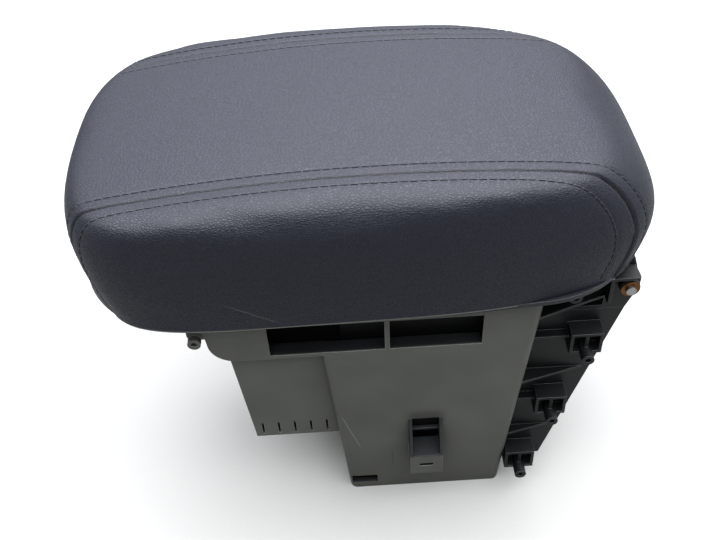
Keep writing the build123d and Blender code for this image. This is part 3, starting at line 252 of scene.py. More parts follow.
@dataclass(frozen=True)
class Leatherette:
    """Grained vinyl on a knit back: pebbles with fine creases and a dull satin gloss; painted shade on the
    seam, a painted highlight on the hem.
    """

    name: str
    colour: str
    crease_colour: str
    grain_mm: float
    roughness: float
    seam_y: float
    seam_shade_colour: str
    hem_z: float
    hem_highlight_colour: str
    marks: tuple[Scratch, ...] = ()
    grain_scale: Triple = (0.66, 1.0, 1.0)
    warp_grains: float = 2.5
    warp_share: float = 0.6
    crease_share: float = 0.28
    pore_grains: float = 0.5
    pore_depth: float = 0.35
    relief_mm: float = 0.16
    relief_strength: float = 0.7
    cloud_mm: float = 70.0
    cloud_contrast: float = 0.35
    cloud_least: float = 0.62
    seam_band_mm: Pair = (0.8, 0.3)
    hem_band_mm: Pair = (2.0, 1.3)
    hem_strength: float = 0.8
    crease_dulling: float = 0.16
    crown_shine: float = 0.04
    ior: float = 1.46

    def material(self) -> bpy.types.Material:
        """Build the node material.

        Returns:
            The material.
        """
        material, tree, shader, place = new_material(self.name)
        grain = self.grain_mm * MM
        drawn = add_node(tree, MAPPING, {"Vector": place, "Scale": self.grain_scale})
        warp = add_node(
            tree, NOISE, {"Vector": drawn, "Scale": 1 / (self.warp_grains * grain), "Detail": 3.0}
        )
        bent = add_node(
            tree,
            MIX,
            {0: grain * self.warp_share, 1: drawn, 2: warp.outputs["Color"]},
            blend_type="LINEAR_LIGHT",
        )
        pebbles = add_node(
            tree, "ShaderNodeTexVoronoi", {"Vector": bent, "Scale": 1 / grain}, feature="DISTANCE_TO_EDGE"
        )
        crown = ramp(tree, pebbles.outputs["Distance"], 0.0, self.crease_share, soft=True)
        pores = add_node(
            tree, NOISE, {"Vector": place, "Scale": 1 / (self.pore_grains * grain), "Detail": 2.0}
        )
        height = add_node(tree, MATH, {0: pores, 1: self.pore_depth, 2: crown}, operation="MULTIPLY_ADD")
        bump = add_node(
            tree,
            BUMP,
            {"Strength": self.relief_strength, "Distance": self.relief_mm * MM, "Height": height},
        )
        cloud = add_node(tree, NOISE, {"Vector": place, "Scale": 1 / (self.cloud_mm * MM), "Detail": 3.0})
        tone = add_node(
            tree, MATH, {0: cloud, 1: self.cloud_contrast, 2: self.cloud_least}, operation="MULTIPLY_ADD"
        )
        depth = add_node(tree, MATH, {0: tone, 1: crown}, operation="MULTIPLY")
        colour = add_node(tree, MIX, {0: depth, 1: linear(self.crease_colour), 2: linear(self.colour)})
        axes = add_node(tree, SEPARATE, {0: place})
        aside = add_node(tree, MATH, {0: axes.outputs["Y"]}, operation="ABSOLUTE")
        off = add_node(tree, MATH, {0: aside, 1: self.seam_y * MM}, operation="SUBTRACT")
        near = add_node(tree, MATH, {0: off}, operation="ABSOLUTE")
        # Painted shade: a dark line along each seam.
        outer, inner = self.seam_band_mm
        sewn = ramp(tree, near, outer * MM, inner * MM)
        # Painted highlight: a pale line along the bottom edge of the cover.
        upper, lower = [(self.hem_z + rise) * MM for rise in self.hem_band_mm]
        hem = ramp(tree, axes.outputs["Z"], upper, lower, self.hem_strength)
        layers = [(sewn, self.seam_shade_colour), (hem, self.hem_highlight_colour)]
        layers += [(mark.mask(tree, place), mark.colour) for mark in self.marks]
        for share, tint in layers:
            colour = add_node(tree, MIX, {0: share, 1: colour, 2: linear(tint)})
        gloss = add_node(
            tree,
            RANGE,
            {
                "Value": depth,
                "To Min": self.roughness + self.crease_dulling,
                "To Max": self.roughness - self.crown_shine,
            },
        )
        plug(tree, shader, {"Base Color": colour, "Roughness": gloss, "Normal": bump, "IOR": self.ior})
        return material


@dataclass(frozen=True)
class MouldedPlastic:
    """Injection moulded plastic: spark-eroded matte texture, faint flow clouds, scuffs, painted highlights
    on edges, painted shade in recesses.
    """

    name: str
    colour: str
    light_colour: str
    texture_mm: float
    roughness: float
    edge_highlight_colour: str
    edge_highlight_strength: float
    marks: tuple[Scratch, ...] = ()
    shaded_hollows: tuple[ShadedHollow, ...] = ()
    hollow_shade_colour: str = "#0d0f14"
    texture_depth_mm: float = 0.08
    texture_strength: float = 0.35
    flow_mm: float = 38.0
    flow_band: Pair = (0.3, 0.7)
    flow_strength: float = 0.75
    scuff_mm: Triple = (50 / 3, 50 / 3, 10 / 9)
    scuff_band: Pair = (0.6, 0.78)
    scuff_strength: float = 0.35
    edge_radius_mm: float = 0.7
    edge_band: Pair = (0.97, 0.75)
    shine: float = 0.07
    dulling: float = 0.09
    ior: float = 1.49

    def material(self) -> bpy.types.Material:
        """Build the node material.

        Returns:
            The material.
        """
        material, tree, shader, place = new_material(self.name)
        spark = add_node(
            tree,
            NOISE,
            {"Vector": place, "Scale": 1 / (self.texture_mm * MM), "Detail": 3.0, "Roughness": 0.6},
        )
        flow = add_node(tree, NOISE, {"Vector": place, "Scale": 1 / (self.flow_mm * MM), "Detail": 4.0})
        stretched = add_node(
            tree, MAPPING, {"Vector": place, "Scale": tuple(1 / (size * MM) for size in self.scuff_mm)}
        )
        scuffs = add_node(tree, NOISE, {"Vector": stretched, "Scale": 1.0, "Detail": 4.0})
        worn = ramp(tree, scuffs, *self.scuff_band, self.scuff_strength, soft=True)
        clouds = ramp(tree, flow, *self.flow_band, self.flow_strength)
        blend = add_node(tree, MATH, {0: clouds, 1: worn}, operation="ADD")
        colour = add_node(tree, MIX, {0: blend, 1: linear(self.colour), 2: linear(self.light_colour)})
        # Painted highlight: the colour turns pale along every edge, where the rounded normal leaves the
        # flat one.
        rounded = add_node(tree, "ShaderNodeBevel", {"Radius": self.edge_radius_mm * MM}, samples=6)
        flat = add_node(tree, "ShaderNodeNewGeometry", {})
        facing = add_node(
            tree, VECTOR_MATH, {0: rounded, 1: flat.outputs["Normal"]}, operation="DOT_PRODUCT"
        )
        edge = ramp(tree, facing.outputs["Value"], *self.edge_band, self.edge_highlight_strength)
        layers = [(edge, self.edge_highlight_colour)]
        layers += [(mark.mask(tree, place), mark.colour) for mark in self.marks]
        # Painted shade: each hollow darkens the colour in its recess.
        layers += [(hollow.mask(tree, place), self.hollow_shade_colour) for hollow in self.shaded_hollows]
        for share, tint in layers:
            colour = add_node(tree, MIX, {0: share, 1: colour, 2: linear(tint)})
        gloss = add_node(
            tree,
            RANGE,
            {"Value": flow, "To Min": self.roughness - self.shine, "To Max": self.roughness + self.dulling},
        )
        bump = add_node(
            tree,
            BUMP,
            {
                "Strength": self.texture_strength,
                "Distance": self.texture_depth_mm * MM,
                "Height": spark,
                "Normal": rounded,
            },
        )
        plug(tree, shader, {"Base Color": colour, "Roughness": gloss, "Normal": bump, "IOR": self.ior})
        return material


@dataclass(frozen=True)
class PlatedSteel:
    """Zinc plated or coated steel: drawn streaks along the part and a patchy dull gloss."""

    name: str
    colour: str
    patch_colour: str
    metallic: float
    roughness: float
    streak_mm: Triple = (0.4, 20 / 3, 0.4)
    streak_depth_mm: float = 0.03
    streak_strength: float = 0.2
    patch_mm: float = 4.0
    shine: float = 0.1
    dulling: float = 0.15

    def material(self) -> bpy.types.Material:
        """Build the node material.

        Returns:
            The material.
        """
        material, tree, shader, place = new_material(self.name)
        drawn = add_node(
            tree, MAPPING, {"Vector": place, "Scale": tuple(1 / (size * MM) for size in self.streak_mm)}
        )
        streaks = add_node(tree, NOISE, {"Vector": drawn, "Scale": 1.0, "Detail": 3.0})
        patches = add_node(tree, NOISE, {"Vector": place, "Scale": 1 / (self.patch_mm * MM), "Detail": 3.0})
        colour = add_node(tree, MIX, {0: patches, 1: linear(self.colour), 2: linear(self.patch_colour)})
        gloss = add_node(
            tree,
            RANGE,
            {
                "Value": streaks,
                "To Min": self.roughness - self.shine,
                "To Max": self.roughness + self.dulling,
            },
        )
        bump = add_node(
            tree,
            BUMP,
            {"Strength": self.streak_strength, "Distance": self.streak_depth_mm * MM, "Height": streaks},
        )
        plug(
            tree,
            shader,
            {"Base Color": colour, "Metallic": self.metallic, "Roughness": gloss, "Normal": bump},
        )
        return material


@dataclass(frozen=True)
class FineGrit:
    """Soft or fibrous matter, such as rubber, foam, thread or a paper floor: fine grit and no gloss."""

    name: str
    colour: str
    grit_colour: str
    grit_mm: float
    roughness: float
    depth_mm: float
    strength: float = 0.4

    def material(self) -> bpy.types.Material:
        """Build the node material.

        Returns:
            The material.
        """
        material, tree, shader, place = new_material(self.name)
        grit = add_node(tree, NOISE, {"Vector": place, "Scale": 1 / (self.grit_mm * MM), "Detail": 4.0})
        colour = add_node(tree, MIX, {0: grit, 1: linear(self.colour), 2: linear(self.grit_colour)})
        bump = add_node(
            tree, BUMP, {"Strength": self.strength, "Distance": self.depth_mm * MM, "Height": grit}
        )
        plug(tree, shader, {"Base Color": colour, "Roughness": self.roughness, "Normal": bump})
        return material


class Workbench:
    """Blender operators on one object at a time."""

    @staticmethod
    def only(piece: bpy.types.Object) -> None:
        """Make one object the active and only selected one.

        Args:
            piece: That object.
        """
        if bpy.context.mode != "OBJECT":
            bpy.ops.object.mode_set(mode="OBJECT")
        bpy.ops.object.select_all(action="DESELECT")
        piece.select_set(True)
        bpy.context.view_layer.objects.active = piece

    @staticmethod
    @contextmanager
    def editing(piece: bpy.types.Object) -> Iterator[None]:
        """Hold an object in edit mode with all of it selected.

        Args:
            piece: Object to edit.

        Returns:
            A context that ends in object mode.
        """
        Workbench.only(piece)
        bpy.ops.object.mode_set(mode="EDIT")
        bpy.ops.mesh.select_all(action="SELECT")
        yield
        bpy.ops.object.mode_set(mode="OBJECT")

    @staticmethod
    def apply(piece: bpy.types.Object, kind: str, **settings: object) -> None:
        """Add a modifier and apply it.

        Args:
            piece: Object that gets the modifier.
            kind: Blender's name of the modifier type.
            settings: Properties of the modifier.
        """
        Workbench.only(piece)
        modifier = piece.modifiers.new(kind.title(), kind)
        for name, value in settings.items():
            setattr(modifier, name, value)
        bpy.ops.object.modifier_apply(modifier=modifier.name)

    @staticmethod
    def points(piece: bpy.types.Object) -> Array:
        """Read an object's vertices.

        Args:
            piece: Object with a mesh.

        Returns:
            Vertices in millimetres, one in a row.
        """
        flat = np.empty(len(piece.data.vertices) * 3)
        piece.data.vertices.foreach_get("co", flat)
        return flat.reshape(-1, 3) / MM

    @staticmethod
    def set_points(piece: bpy.types.Object, points: Array) -> None:
        """Write an object's vertices, given in millimetres."""
        piece.data.vertices.foreach_set("co", (points * MM).ravel())
        piece.data.update()

    @staticmethod
    def normals(piece: bpy.types.Object) -> Array:
        """Read an object's vertex normals.

        Args:
            piece: Object with a mesh.

        Returns:
            Normals, one in a row.
        """
        flat = np.empty(len(piece.data.vertices) * 3)
        piece.data.vertex_normals.foreach_get("vector", flat)
        return flat.reshape(-1, 3)

    @staticmethod
    def grid(
        name: str, stations_u: Array, stations_v: Array, surface: Callable[[Array, Array], Array]
    ) -> bpy.types.Object:
        """Add a grid and lay it on a surface.

        Args:
            name: Name of the object.
            stations_u: Rising shares from zero to one along the grid.
            stations_v: Rising shares from zero to one across it.
            surface: Gives points in millimetres for the shares of all vertices.

        Returns:
            The grid object, laid on the surface.
        """
        merge_mm = 0.02
        bpy.ops.object.select_all(action="DESELECT")
        bpy.ops.mesh.primitive_grid_add(
            x_subdivisions=len(stations_u) - 1, y_subdivisions=len(stations_v) - 1, size=1
        )
        piece = bpy.context.active_object
        piece.name = name
        flat = Workbench.points(piece) * MM + 0.5
        u = stations_u[np.rint(flat[:, 0] * (len(stations_u) - 1)).astype(int)]
        v = stations_v[np.rint(flat[:, 1] * (len(stations_v) - 1)).astype(int)]
        Workbench.set_points(piece, surface(u, v))
        with Workbench.editing(piece):
            bpy.ops.mesh.remove_doubles(threshold=merge_mm * MM)
            bpy.ops.mesh.normals_make_consistent(inside=False)
        return piece

    @staticmethod
    def smooth(piece: bpy.types.Object, angle: float) -> None:
        """Shade an object smooth, with edges sharper than an angle in degrees kept."""
        Workbench.only(piece)
        bpy.ops.object.shade_smooth_by_angle(angle=math.radians(angle))


def run_along(curve: Array) -> Array:
    """Measure a curve's length up to each of its points."""
    return np.concatenate(([0], np.cumsum(np.linalg.norm(np.diff(curve, axis=0), axis=1))))


def graded(length: float, start_zone: float, end_zone: float, fine: float, coarse: float) -> Array:
    """Space stations along a length, close together at its ends.

    Args:
        length: Length in millimetres.
        start_zone: Length of the close zone at the start.
        end_zone: Length of the close zone at the end.
        fine: Step in the close zones.
        coarse: Step between them.

    Returns:
        Rising shares from zero to one.
    """
    middle = length - start_zone - end_zone
    start = np.linspace(0, start_zone, round(start_zone / fine) + 1)
    body = np.linspace(start_zone, start_zone + middle, round(middle / coarse) + 1)
    end = np.linspace(length - end_zone, length, round(end_zone / fine) + 1)
    return np.unique(np.concatenate((start, body, end)).round(6)) / length


@dataclass
class LidForm:
    """Outer form of the padded lid, in millimetres from the middle of its bottom.

    Values in threes are for the front, the rear and the sides, values in twos for the front and the rear.
    """

    origin_x: float = 9.6
    bottom: float = 204.0
    height: float = 86.0
    length: float = 340.0
    front: float = 172.6
    rear: float = 160.4
    half_width: float = 94.0
    waist: Triple = (52.7, 31.0, 31.0)
    tuck: Triple = (13.0, 7.2, 1.3)
    shoulder: Triple = (20.8, 56.15, 15.65)
    low_roundness: Triple = (1.43, 1.6, 1.6)
    roundness: Triple = (1.9, 1.6, 4.5)
    plan_powers: Pair = (7.0, 2.69)
    low_corner: Pair = (4.5, 4.45)
    top_corner: Pair = (1.45, 4.45)
    taper: float = 0.03
    crown_along: float = 14.8
    crown_across: float = 6.05
    crown_span: Pair = (170.0, 105.0)
    skirt: float = 16.0
    halvings: int = 26
    curve_points: int = 361
    spine_ends: Pair = (-95.0, 80.0)
    spine_inset: float = 30.0
    spine_rise: float = 24.0

    def inside(self, points: Array, inset: float) -> Array:
        """Tell which points lie inside the form.

        Args:
            points: Points in the part's frame.
            inset: Distance that the form is drawn in by.

        Returns:
            True where a point is inside.
        """
        x = points[..., 0] - self.origin_x
        y = np.abs(points[..., 1])
        z = points[..., 2] - self.bottom
        drawn_in = []
        shapes = zip(self.waist, self.tuck, self.shoulder, self.low_roundness, self.roundness)
        for waist, under, over, m, n in shapes:
            low = np.clip(1 - z / waist, 0, 1) ** m
            rise = np.clip((z - waist) / (self.height - waist), 0, 1) ** n
            drawn_in.append(under * low + over * (1 - (1 - rise) ** (1 / n)))
        front_in, rear_in, side_in = drawn_in
        ahead = x < 0
        reach = np.where(ahead, self.front - front_in, self.rear - rear_in) - inset
        p = np.where(ahead, *self.plan_powers)
        up = np.clip(z / self.height, 0, 1) ** 2
        q = np.where(ahead, *self.low_corner) * (1 - up) + np.where(ahead, *self.top_corner) * up
        share = np.clip(np.abs(x) / reach, 0, 1) ** p
        half = (self.half_width - side_in) * (1 - self.taper * x / self.crown_span[0])
        width = (1 - share) ** (1 / q) * half - inset
        along, across = x / self.crown_span[0], y / self.crown_span[1]
        top = self.height - self.crown_along * along ** 2 - self.crown_across * across ** 2 - inset
        return (np.abs(x) < reach) & (y < width) & (z < top) & (z > -self.skirt)

    def cast(self, starts: Array, rays: Array, inset: float = 0.0) -> Array:
        """Follow rays from inside to the form's surface.

        Args:
            starts: Points inside the form.
            rays: Directions of unit length.
            inset: Distance that the form is drawn in by.

        Returns:
            Points on the surface.
        """
        low = np.zeros(starts.shape[:-1])
        high = np.full(starts.shape[:-1], self.length)
        for _ in range(self.halvings):
            middle = (low + high) / 2
            within = self.inside(starts + rays * middle[..., None], inset)
            low = np.where(within, middle, low)
            high = np.where(within, high, middle)
        return starts + rays * low[..., None]

    def arch(self, y: Array, share: Array) -> Array:
        """Points on lengthwise sections, from the front bottom edge over the top to the rear one.

        Args:
            y: Place of each section across the lid.
            share: Share of each section's length.

        Returns:
            Points on the form.
        """
        angles = np.linspace(0, math.pi, self.curve_points)
        rays = np.stack((-np.cos(angles), np.zeros_like(angles), np.sin(angles)), -1)
        places = np.empty((len(y), 3))
        for section in np.unique(y):
            start = np.broadcast_to((0.0, section, self.bottom), rays.shape)
            curve = self.cast(start, rays)
            run = run_along(curve)
            here = y == section
            for axis in range(3):
                places[here, axis] = np.interp(share[here] * run[-1], run, curve[:, axis])
        return places

    def flank(self, seam: float, side: int, along: Array, down: Array) -> Array:
        """Points on a side of the lid, from the seam down to the bottom edge.

        Args:
            seam: Distance of the seam from the middle.
            side: Minus one for the near side, one for the far side.
            along: Share of the seam's length.
            down: Share of the way from the seam to the bottom edge.

        Returns:
            Points on the form.
        """
        keys, place = np.unique(along, return_inverse=True)
        upper = self.arch(np.full(len(keys), seam), keys)
        sweep = np.linspace(-math.pi / 2, math.pi / 2, self.curve_points)
        rays = np.stack((np.sin(sweep), np.cos(sweep), np.zeros_like(sweep)), -1)
        edge = self.cast(np.broadcast_to((0.0, seam, self.bottom), rays.shape), rays)
        run = run_along(edge)
        lower = np.stack([np.interp(keys * run[-1], run, edge[:, axis]) for axis in range(3)], -1)
        chord = upper[place] * (1 - down[:, None]) + lower[place] * down[:, None]
        spine = np.empty_like(chord)
        spine[:, 0] = np.clip(chord[:, 0], *self.spine_ends)
        spine[:, 1] = seam - self.spine_inset
        spine[:, 2] = self.bottom + self.spine_rise * (1 - down)
        rays = chord - spine
        rays /= np.linalg.norm(rays, axis=1)[:, None]
        points = self.cast(spine, rays)
        points[down == 0] = upper[place][down == 0]
        points[down == 1] = lower[place][down == 1]
        points[:, 1] *= side
        return points


def dress(piece: bpy.types.Object, material: bpy.types.Material) -> None:
    """Give an object one material all over."""
    piece.data.materials.clear()
    piece.data.materials.append(material)


def settle(piece: bpy.types.Object, node: str) -> None:
    """Let a piece stand for a CAD node of the lid and ride on the lid.

    Args:
        piece: New piece, in place.
        node: CAD node that it replaces.
    """
    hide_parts(node)
    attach(piece, LID_BODY)


@dataclass
class PaddedLid:
    """Lid cushion, its three sewn leatherette panels and their topstitching, in millimetres."""

    form: LidForm = field(default_factory=LidForm)
    seam: float = 70.2
    stitch_row: float = 6.9
    cube_cuts: int = 44
    start_rise: float = 0.4
    start_inset: float = -0.7
    voxel: float = 4.0
    smoothing: float = 0.5
    smoothing_rounds: int = 4
    held_share: float = 0.7
    cloth_quality: int = 6
    cloth_mass: float = 0.3
    cloth_pressure: float = 4.0
    cloth_frames: int = 20
    most_swell: float = 1.8
    cover: float = 1.5
    cover_run: float = 470.0
    flank_drop: float = 105.0
    hem_zone: float = 5.0
    hem_step: float = 0.5
    seam_zone: float = 9.0
    seam_step: float = 0.6
    along_step: float = 2.6
    across_step: float = 3.0
    down_step: float = 2.4
    edge_hold: float = 0.01
    foam_gap: float = 1.9
    foam_bottom: float = 226.0
    foam_thickness: float = 14.0
    fill: float = 0.95
    seam_half_gap: float = 0.03
    seam_depth: float = 1.1
    seam_width: float = 0.75
    row_depth: float = 0.34
    row_width: float = 0.85
    hem: float = 1.2
    hem_lift: float = 0.05
    least_lean: float = 0.2
    stitch_pitch: float = 5.0
    stitch_length: float = 4.85
    stitch_sides: int = 8
    stitch_arch: float = 0.14
    stitch_dive: float = 0.5
    dive_power: int = 4
    stitch_fullness: float = 2.2
    tip_share: float = 0.97
    tip_girth: float = 0.25
    thread_radius: float = 0.4
    path_steps: int = 722
    path_margin: int = 2
    cover_angle: float = 50.0
    thread_angle: float = 60.0
    foam_angle: float = 40.0
    # Vinyl embossed by a grained roller: rounded pebbles that catch the light, dark creases between
    # them and a dull satin sheen. The pebbles are drawn 1.25 mm wide, coarser than the real ones of
    # about 0.7 mm, so that they show. The dark line along the seam is painted shade, and the pale line
    # along the hem is a painted highlight.
    leather: Leatherette = Leatherette(
        "leatherette_charcoal_grained",
        colour="#131622",
        crease_colour="#0d1019",
        grain_mm=1.25,
        roughness=0.46,
        seam_y=70.2,
        seam_shade_colour="#040508",
        hem_z=204.0,
        hem_highlight_colour="#5d5f5a",
        marks=(Scratch((-77.6, -93.0, 229.0), (-45.5, -94.5, 208.5), 0.45, 0.26, "#74736e"),),
    )
    # Polyurethane foamed in a mould: pale open cells without gloss. They are drawn 1.2 mm wide, coarser
    # than the real ones of about 0.4 mm.
    foam: FineGrit = FineGrit("polyurethane_foam_moulded", "#b9b093", "#8f876e", 1.2, 0.95, 0.5)
    # Twisted polyester filament: near black, with a faint broken sheen. Its plies are drawn as a grit of
    # 0.35 mm, coarser than the real ones of about 0.2 mm.
    thread: FineGrit = FineGrit("polyester_thread_twisted", "#111217", "#1d1f26", 0.35, 0.6, 0.1)

    def make_cushion(self) -> bpy.types.Object:
        """Shape the cushion and swell it as cloth under pressure.

        Returns:
            The swollen cushion, closed, with a skirt below the lid's bottom edge.
        """
        form = self.form
        bpy.ops.object.select_all(action="DESELECT")
        bpy.ops.mesh.primitive_cube_add(size=1)
        cushion = bpy.context.active_object
        cushion.name = "lid_padding"
        with Workbench.editing(cushion):
            bpy.ops.mesh.subdivide(number_cuts=self.cube_cuts)
        box = Workbench.points(cushion) * MM * np.array((form.length, 2 * form.half_width, form.height))
        start = np.array((0.0, 0.0, form.bottom + form.height * self.start_rise))
        rays = box / np.linalg.norm(box, axis=1)[:, None]
        Workbench.set_points(cushion, form.cast(np.broadcast_to(start, rays.shape), rays, self.start_inset))
        Workbench.apply(cushion, "REMESH", mode="VOXEL", voxel_size=self.voxel * MM, use_smooth_shade=True)
        with Workbench.editing(cushion):
            bpy.ops.mesh.vertices_smooth(factor=self.smoothing, repeat=self.smoothing_rounds)
        self.swell(cushion)
        return cushion

    def swell(self, cushion: bpy.types.Object) -> None:
        """Press the cushion outwards between its seams and its bottom edge.

        Args:
            cushion: Remeshed cushion, changed in place.
        """
        rest = Workbench.points(cushion)
        held = cushion.vertex_groups.new(name="sewn")
        at_seam = np.abs(np.abs(rest[:, 1]) - self.seam) < self.voxel * self.held_share
        at_bottom = rest[:, 2] < self.form.bottom + self.voxel
        held.add(np.flatnonzero(at_seam | at_bottom).tolist(), 1.0, "REPLACE")
        cloth = cushion.modifiers.new("Cloth", "CLOTH")
        cloth.settings.quality = self.cloth_quality
        cloth.settings.mass = self.cloth_mass
        cloth.settings.use_pressure = True
        cloth.settings.uniform_pressure_force = self.cloth_pressure
        cloth.settings.vertex_group_mass = held.name
        cloth.settings.effector_weights.gravity = 0.0
        cloth.collision_settings.use_collision = False
        for step in range(1, self.cloth_frames + 1):
            bpy.context.scene.frame_set(step)
        Workbench.only(cushion)
        bpy.ops.object.modifier_apply(modifier=cloth.name)
        bpy.context.scene.frame_set(1)
        moved = Workbench.points(cushion) - rest
        far = np.maximum(np.linalg.norm(moved, axis=1), TINY)
        Workbench.set_points(cushion, rest + moved * (np.minimum(far, self.most_swell) / far)[:, None])
        with Workbench.editing(cushion):
            bpy.ops.mesh.vertices_smooth(factor=self.smoothing, repeat=self.smoothing_rounds)

    def make_panel(self, panel: Panel, cushion: bpy.types.Object) -> bpy.types.Object:
        """Lay one leatherette panel over the cushion and sink its sewn edges.

        Args:
            panel: Which panel.
            cushion: Swollen cushion.

        Returns:
            The panel, with its thickness.
        """
        form, side = self.form, panel.value
        edge = self.seam - self.seam_half_gap
        outer = self.seam + self.seam_half_gap
        along = graded(self.cover_run, self.hem_zone, self.hem_zone, self.hem_step, self.along_step)
        if panel is Panel.CENTRE:
            across = graded(2 * edge, self.seam_zone, self.seam_zone, self.seam_step, self.across_step)
            piece = Workbench.grid(
                "cover_centre_leather", along, across, lambda u, v: form.arch((2 * v - 1) * edge, u)
            )
        else:
            down = graded(self.flank_drop, self.seam_zone, self.hem_zone, self.seam_step, self.down_step)
            piece = Workbench.grid(
                "cover_near_leather" if side < 0 else "cover_far_leather",
                along,
                down,
                lambda u, v: form.flank(outer, side, u, v),
            )
        flat = Workbench.points(piece)
        Workbench.apply(piece, "SHRINKWRAP", target=cushion, wrap_method="NEAREST_SURFACEPOINT")
        points = Workbench.points(piece)
        if np.mean(Workbench.normals(piece)[:, 2]) < 0:
            with Workbench.editing(piece):
                bpy.ops.mesh.flip_normals()
        if panel is Panel.CENTRE:
            points[:, 1] = np.clip(points[:, 1], -edge, edge)
            sewn = np.abs(flat[:, 1]) > edge - self.edge_hold
        else:
            points[:, 1] = side * np.maximum(side * points[:, 1], outer)
            sewn = side * flat[:, 1] < outer + self.edge_hold
        points[sewn, 1] = flat[sewn, 1]
        Workbench.set_points(piece, points)
        self.sink_seams(piece)
        Workbench.apply(piece, "SOLIDIFY", thickness=self.cover * MM, offset=-1.0, use_even_offset=False)
        Workbench.smooth(piece, self.cover_angle)
        return piece

    def sink_seams(self, piece: bpy.types.Object) -> None:
        """Sink the seam, the stitch channels and the hem into a panel.

        Args:
            piece: Panel before it gets its thickness, changed in place.
        """
        points, normals = Workbench.points(piece), Workbench.normals(piece)
        off = np.abs(np.abs(points[:, 1]) - self.seam)
        depth = self.seam_depth * np.exp(-((off / self.seam_width) ** 2))
        depth += self.row_depth * np.exp(-(((off - self.stitch_row) / self.row_width) ** 2))
        points = points - normals * depth[:, None]
        rise = np.clip(points[:, 2] - self.form.bottom, 0, self.hem)
        tuck = self.hem - np.sqrt(self.hem ** 2 - (self.hem - rise) ** 2)
        flat = normals * (1, 1, 0)
        flat /= np.maximum(np.linalg.norm(flat, axis=1), self.least_lean)[:, None]
        points -= flat * tuck[:, None]
        points[:, 2] = np.maximum(points[:, 2], self.form.bottom + self.hem_lift)
        Workbench.set_points(piece, points)

    def make_stitch(self) -> bpy.types.Object:
        """Model one stitch: a thread that arches up and dives in at both ends.

        Returns:
            The stitch, along the X axis at the origin.
        """
        bpy.ops.object.select_all(action="DESELECT")
        bpy.ops.mesh.primitive_uv_sphere_add(
            segments=self.stitch_sides, ring_count=self.stitch_sides, radius=1
        )
        stitch = bpy.context.active_object
        bpy.ops.transform.rotate(
            value=math.pi / 2, orient_axis="Y", center_override=(0, 0, 0), orient_type="GLOBAL"
        )
        bpy.ops.object.transform_apply(location=True, rotation=True, scale=True)
        points = Workbench.points(stitch) * MM
        along = points[:, 0]
        ring = np.maximum(np.hypot(points[:, 1], points[:, 2]), TINY)
        girth = np.where(np.abs(along) > self.tip_share, self.tip_girth, 1.0) * self.thread_radius
        girth = girth * np.minimum(ring * self.stitch_fullness, 1) / ring
        lift = self.stitch_arch - self.stitch_dive * along ** self.dive_power
        shaped = np.stack(
            (along * self.stitch_length / 2, points[:, 1] * girth, points[:, 2] * girth + lift), -1
        )
        Workbench.set_points(stitch, shaped)
        return stitch

    def stitch_path(self, panel: bpy.types.Object, y: float) -> list[tuple[Vector, Vector]]:
        """Points and normals along a panel at one place across it.

        Args:
            panel: Finished panel.
            y: Place across the lid in millimetres.

        Returns:
            Points in metres with their normals, from front to rear.
        """
        surface = BVHTree.FromObject(panel, bpy.context.evaluated_depsgraph_get())
        centre = Vector((0.0, y, self.form.bottom)) * MM
        path = []
        for step in range(self.path_margin, self.path_steps - self.path_margin):
            angle = math.pi * step / self.path_steps
            ray = Vector((-math.cos(angle), 0.0, math.sin(angle)))
            hit, normal, _, _ = surface.ray_cast(centre + ray * self.form.length * MM, -ray)
            if hit is not None:
                path.append((hit, normal))
        return path

    def make_row(self, panel: bpy.types.Object, y: float, name: str) -> bpy.types.Object:
        """Sew one row of stitches along a panel.

        Args:
            panel: Finished panel under the row.
            y: Place of the row across the lid in millimetres.
            name: Name of the piece.

        Returns:
            The row as one object.
        """
        path = self.stitch_path(panel, y)
        spots = np.array([p for p, _ in path])
        run = run_along(spots) / MM
        stitch = self.make_stitch()
        shape = stitch.data
        copies = []
        for middle in np.arange(self.stitch_pitch, run[-1] - self.stitch_pitch / 2, self.stitch_pitch):
            ends = [
                Vector([np.interp(middle + d, run, spots[:, axis]) for axis in range(3)])
                for d in (-self.stitch_length / 2, self.stitch_length / 2)
            ]
            ahead = (ends[1] - ends[0]).normalized()
            normal = path[int(np.searchsorted(run, middle))][1]
            side = normal.cross(ahead).normalized()
            turn = Matrix((ahead, side, ahead.cross(side))).transposed().to_4x4()
            copy = bpy.data.objects.new(name, shape.copy())
            bpy.context.collection.objects.link(copy)
            copy.data.transform(Matrix.Translation((ends[0] + ends[1]) / 2) @ turn)
            copies.append(copy)
        bpy.data.objects.remove(stitch)
        bpy.ops.object.select_all(action="DESELECT")
        for copy in copies:
            copy.select_set(True)
        bpy.context.view_layer.objects.active = copies[0]
        bpy.ops.object.join()
        row = bpy.context.active_object
        row.name = name
        Workbench.smooth(row, self.thread_angle)
        return row

    def make_padding(self, cushion: bpy.types.Object) -> None:
        """Turn the swollen cushion into the foam shell under the cover, above the latch's pocket.

        Args:
            cushion: Swollen cushion, changed in place.
        """
        Workbench.apply(cushion, "DISPLACE", strength=-(self.cover + self.foam_gap) * MM, mid_level=0.0)
        with Workbench.editing(cushion):
            bpy.ops.mesh.bisect(
                plane_co=(0, 0, self.foam_bottom * MM), plane_no=(0, 0, 1), use_fill=False, clear_inner=True
            )
        Workbench.apply(cushion, "SOLIDIFY", thickness=self.foam_thickness * MM, offset=-1.0)
        Workbench.smooth(cushion, self.foam_angle)

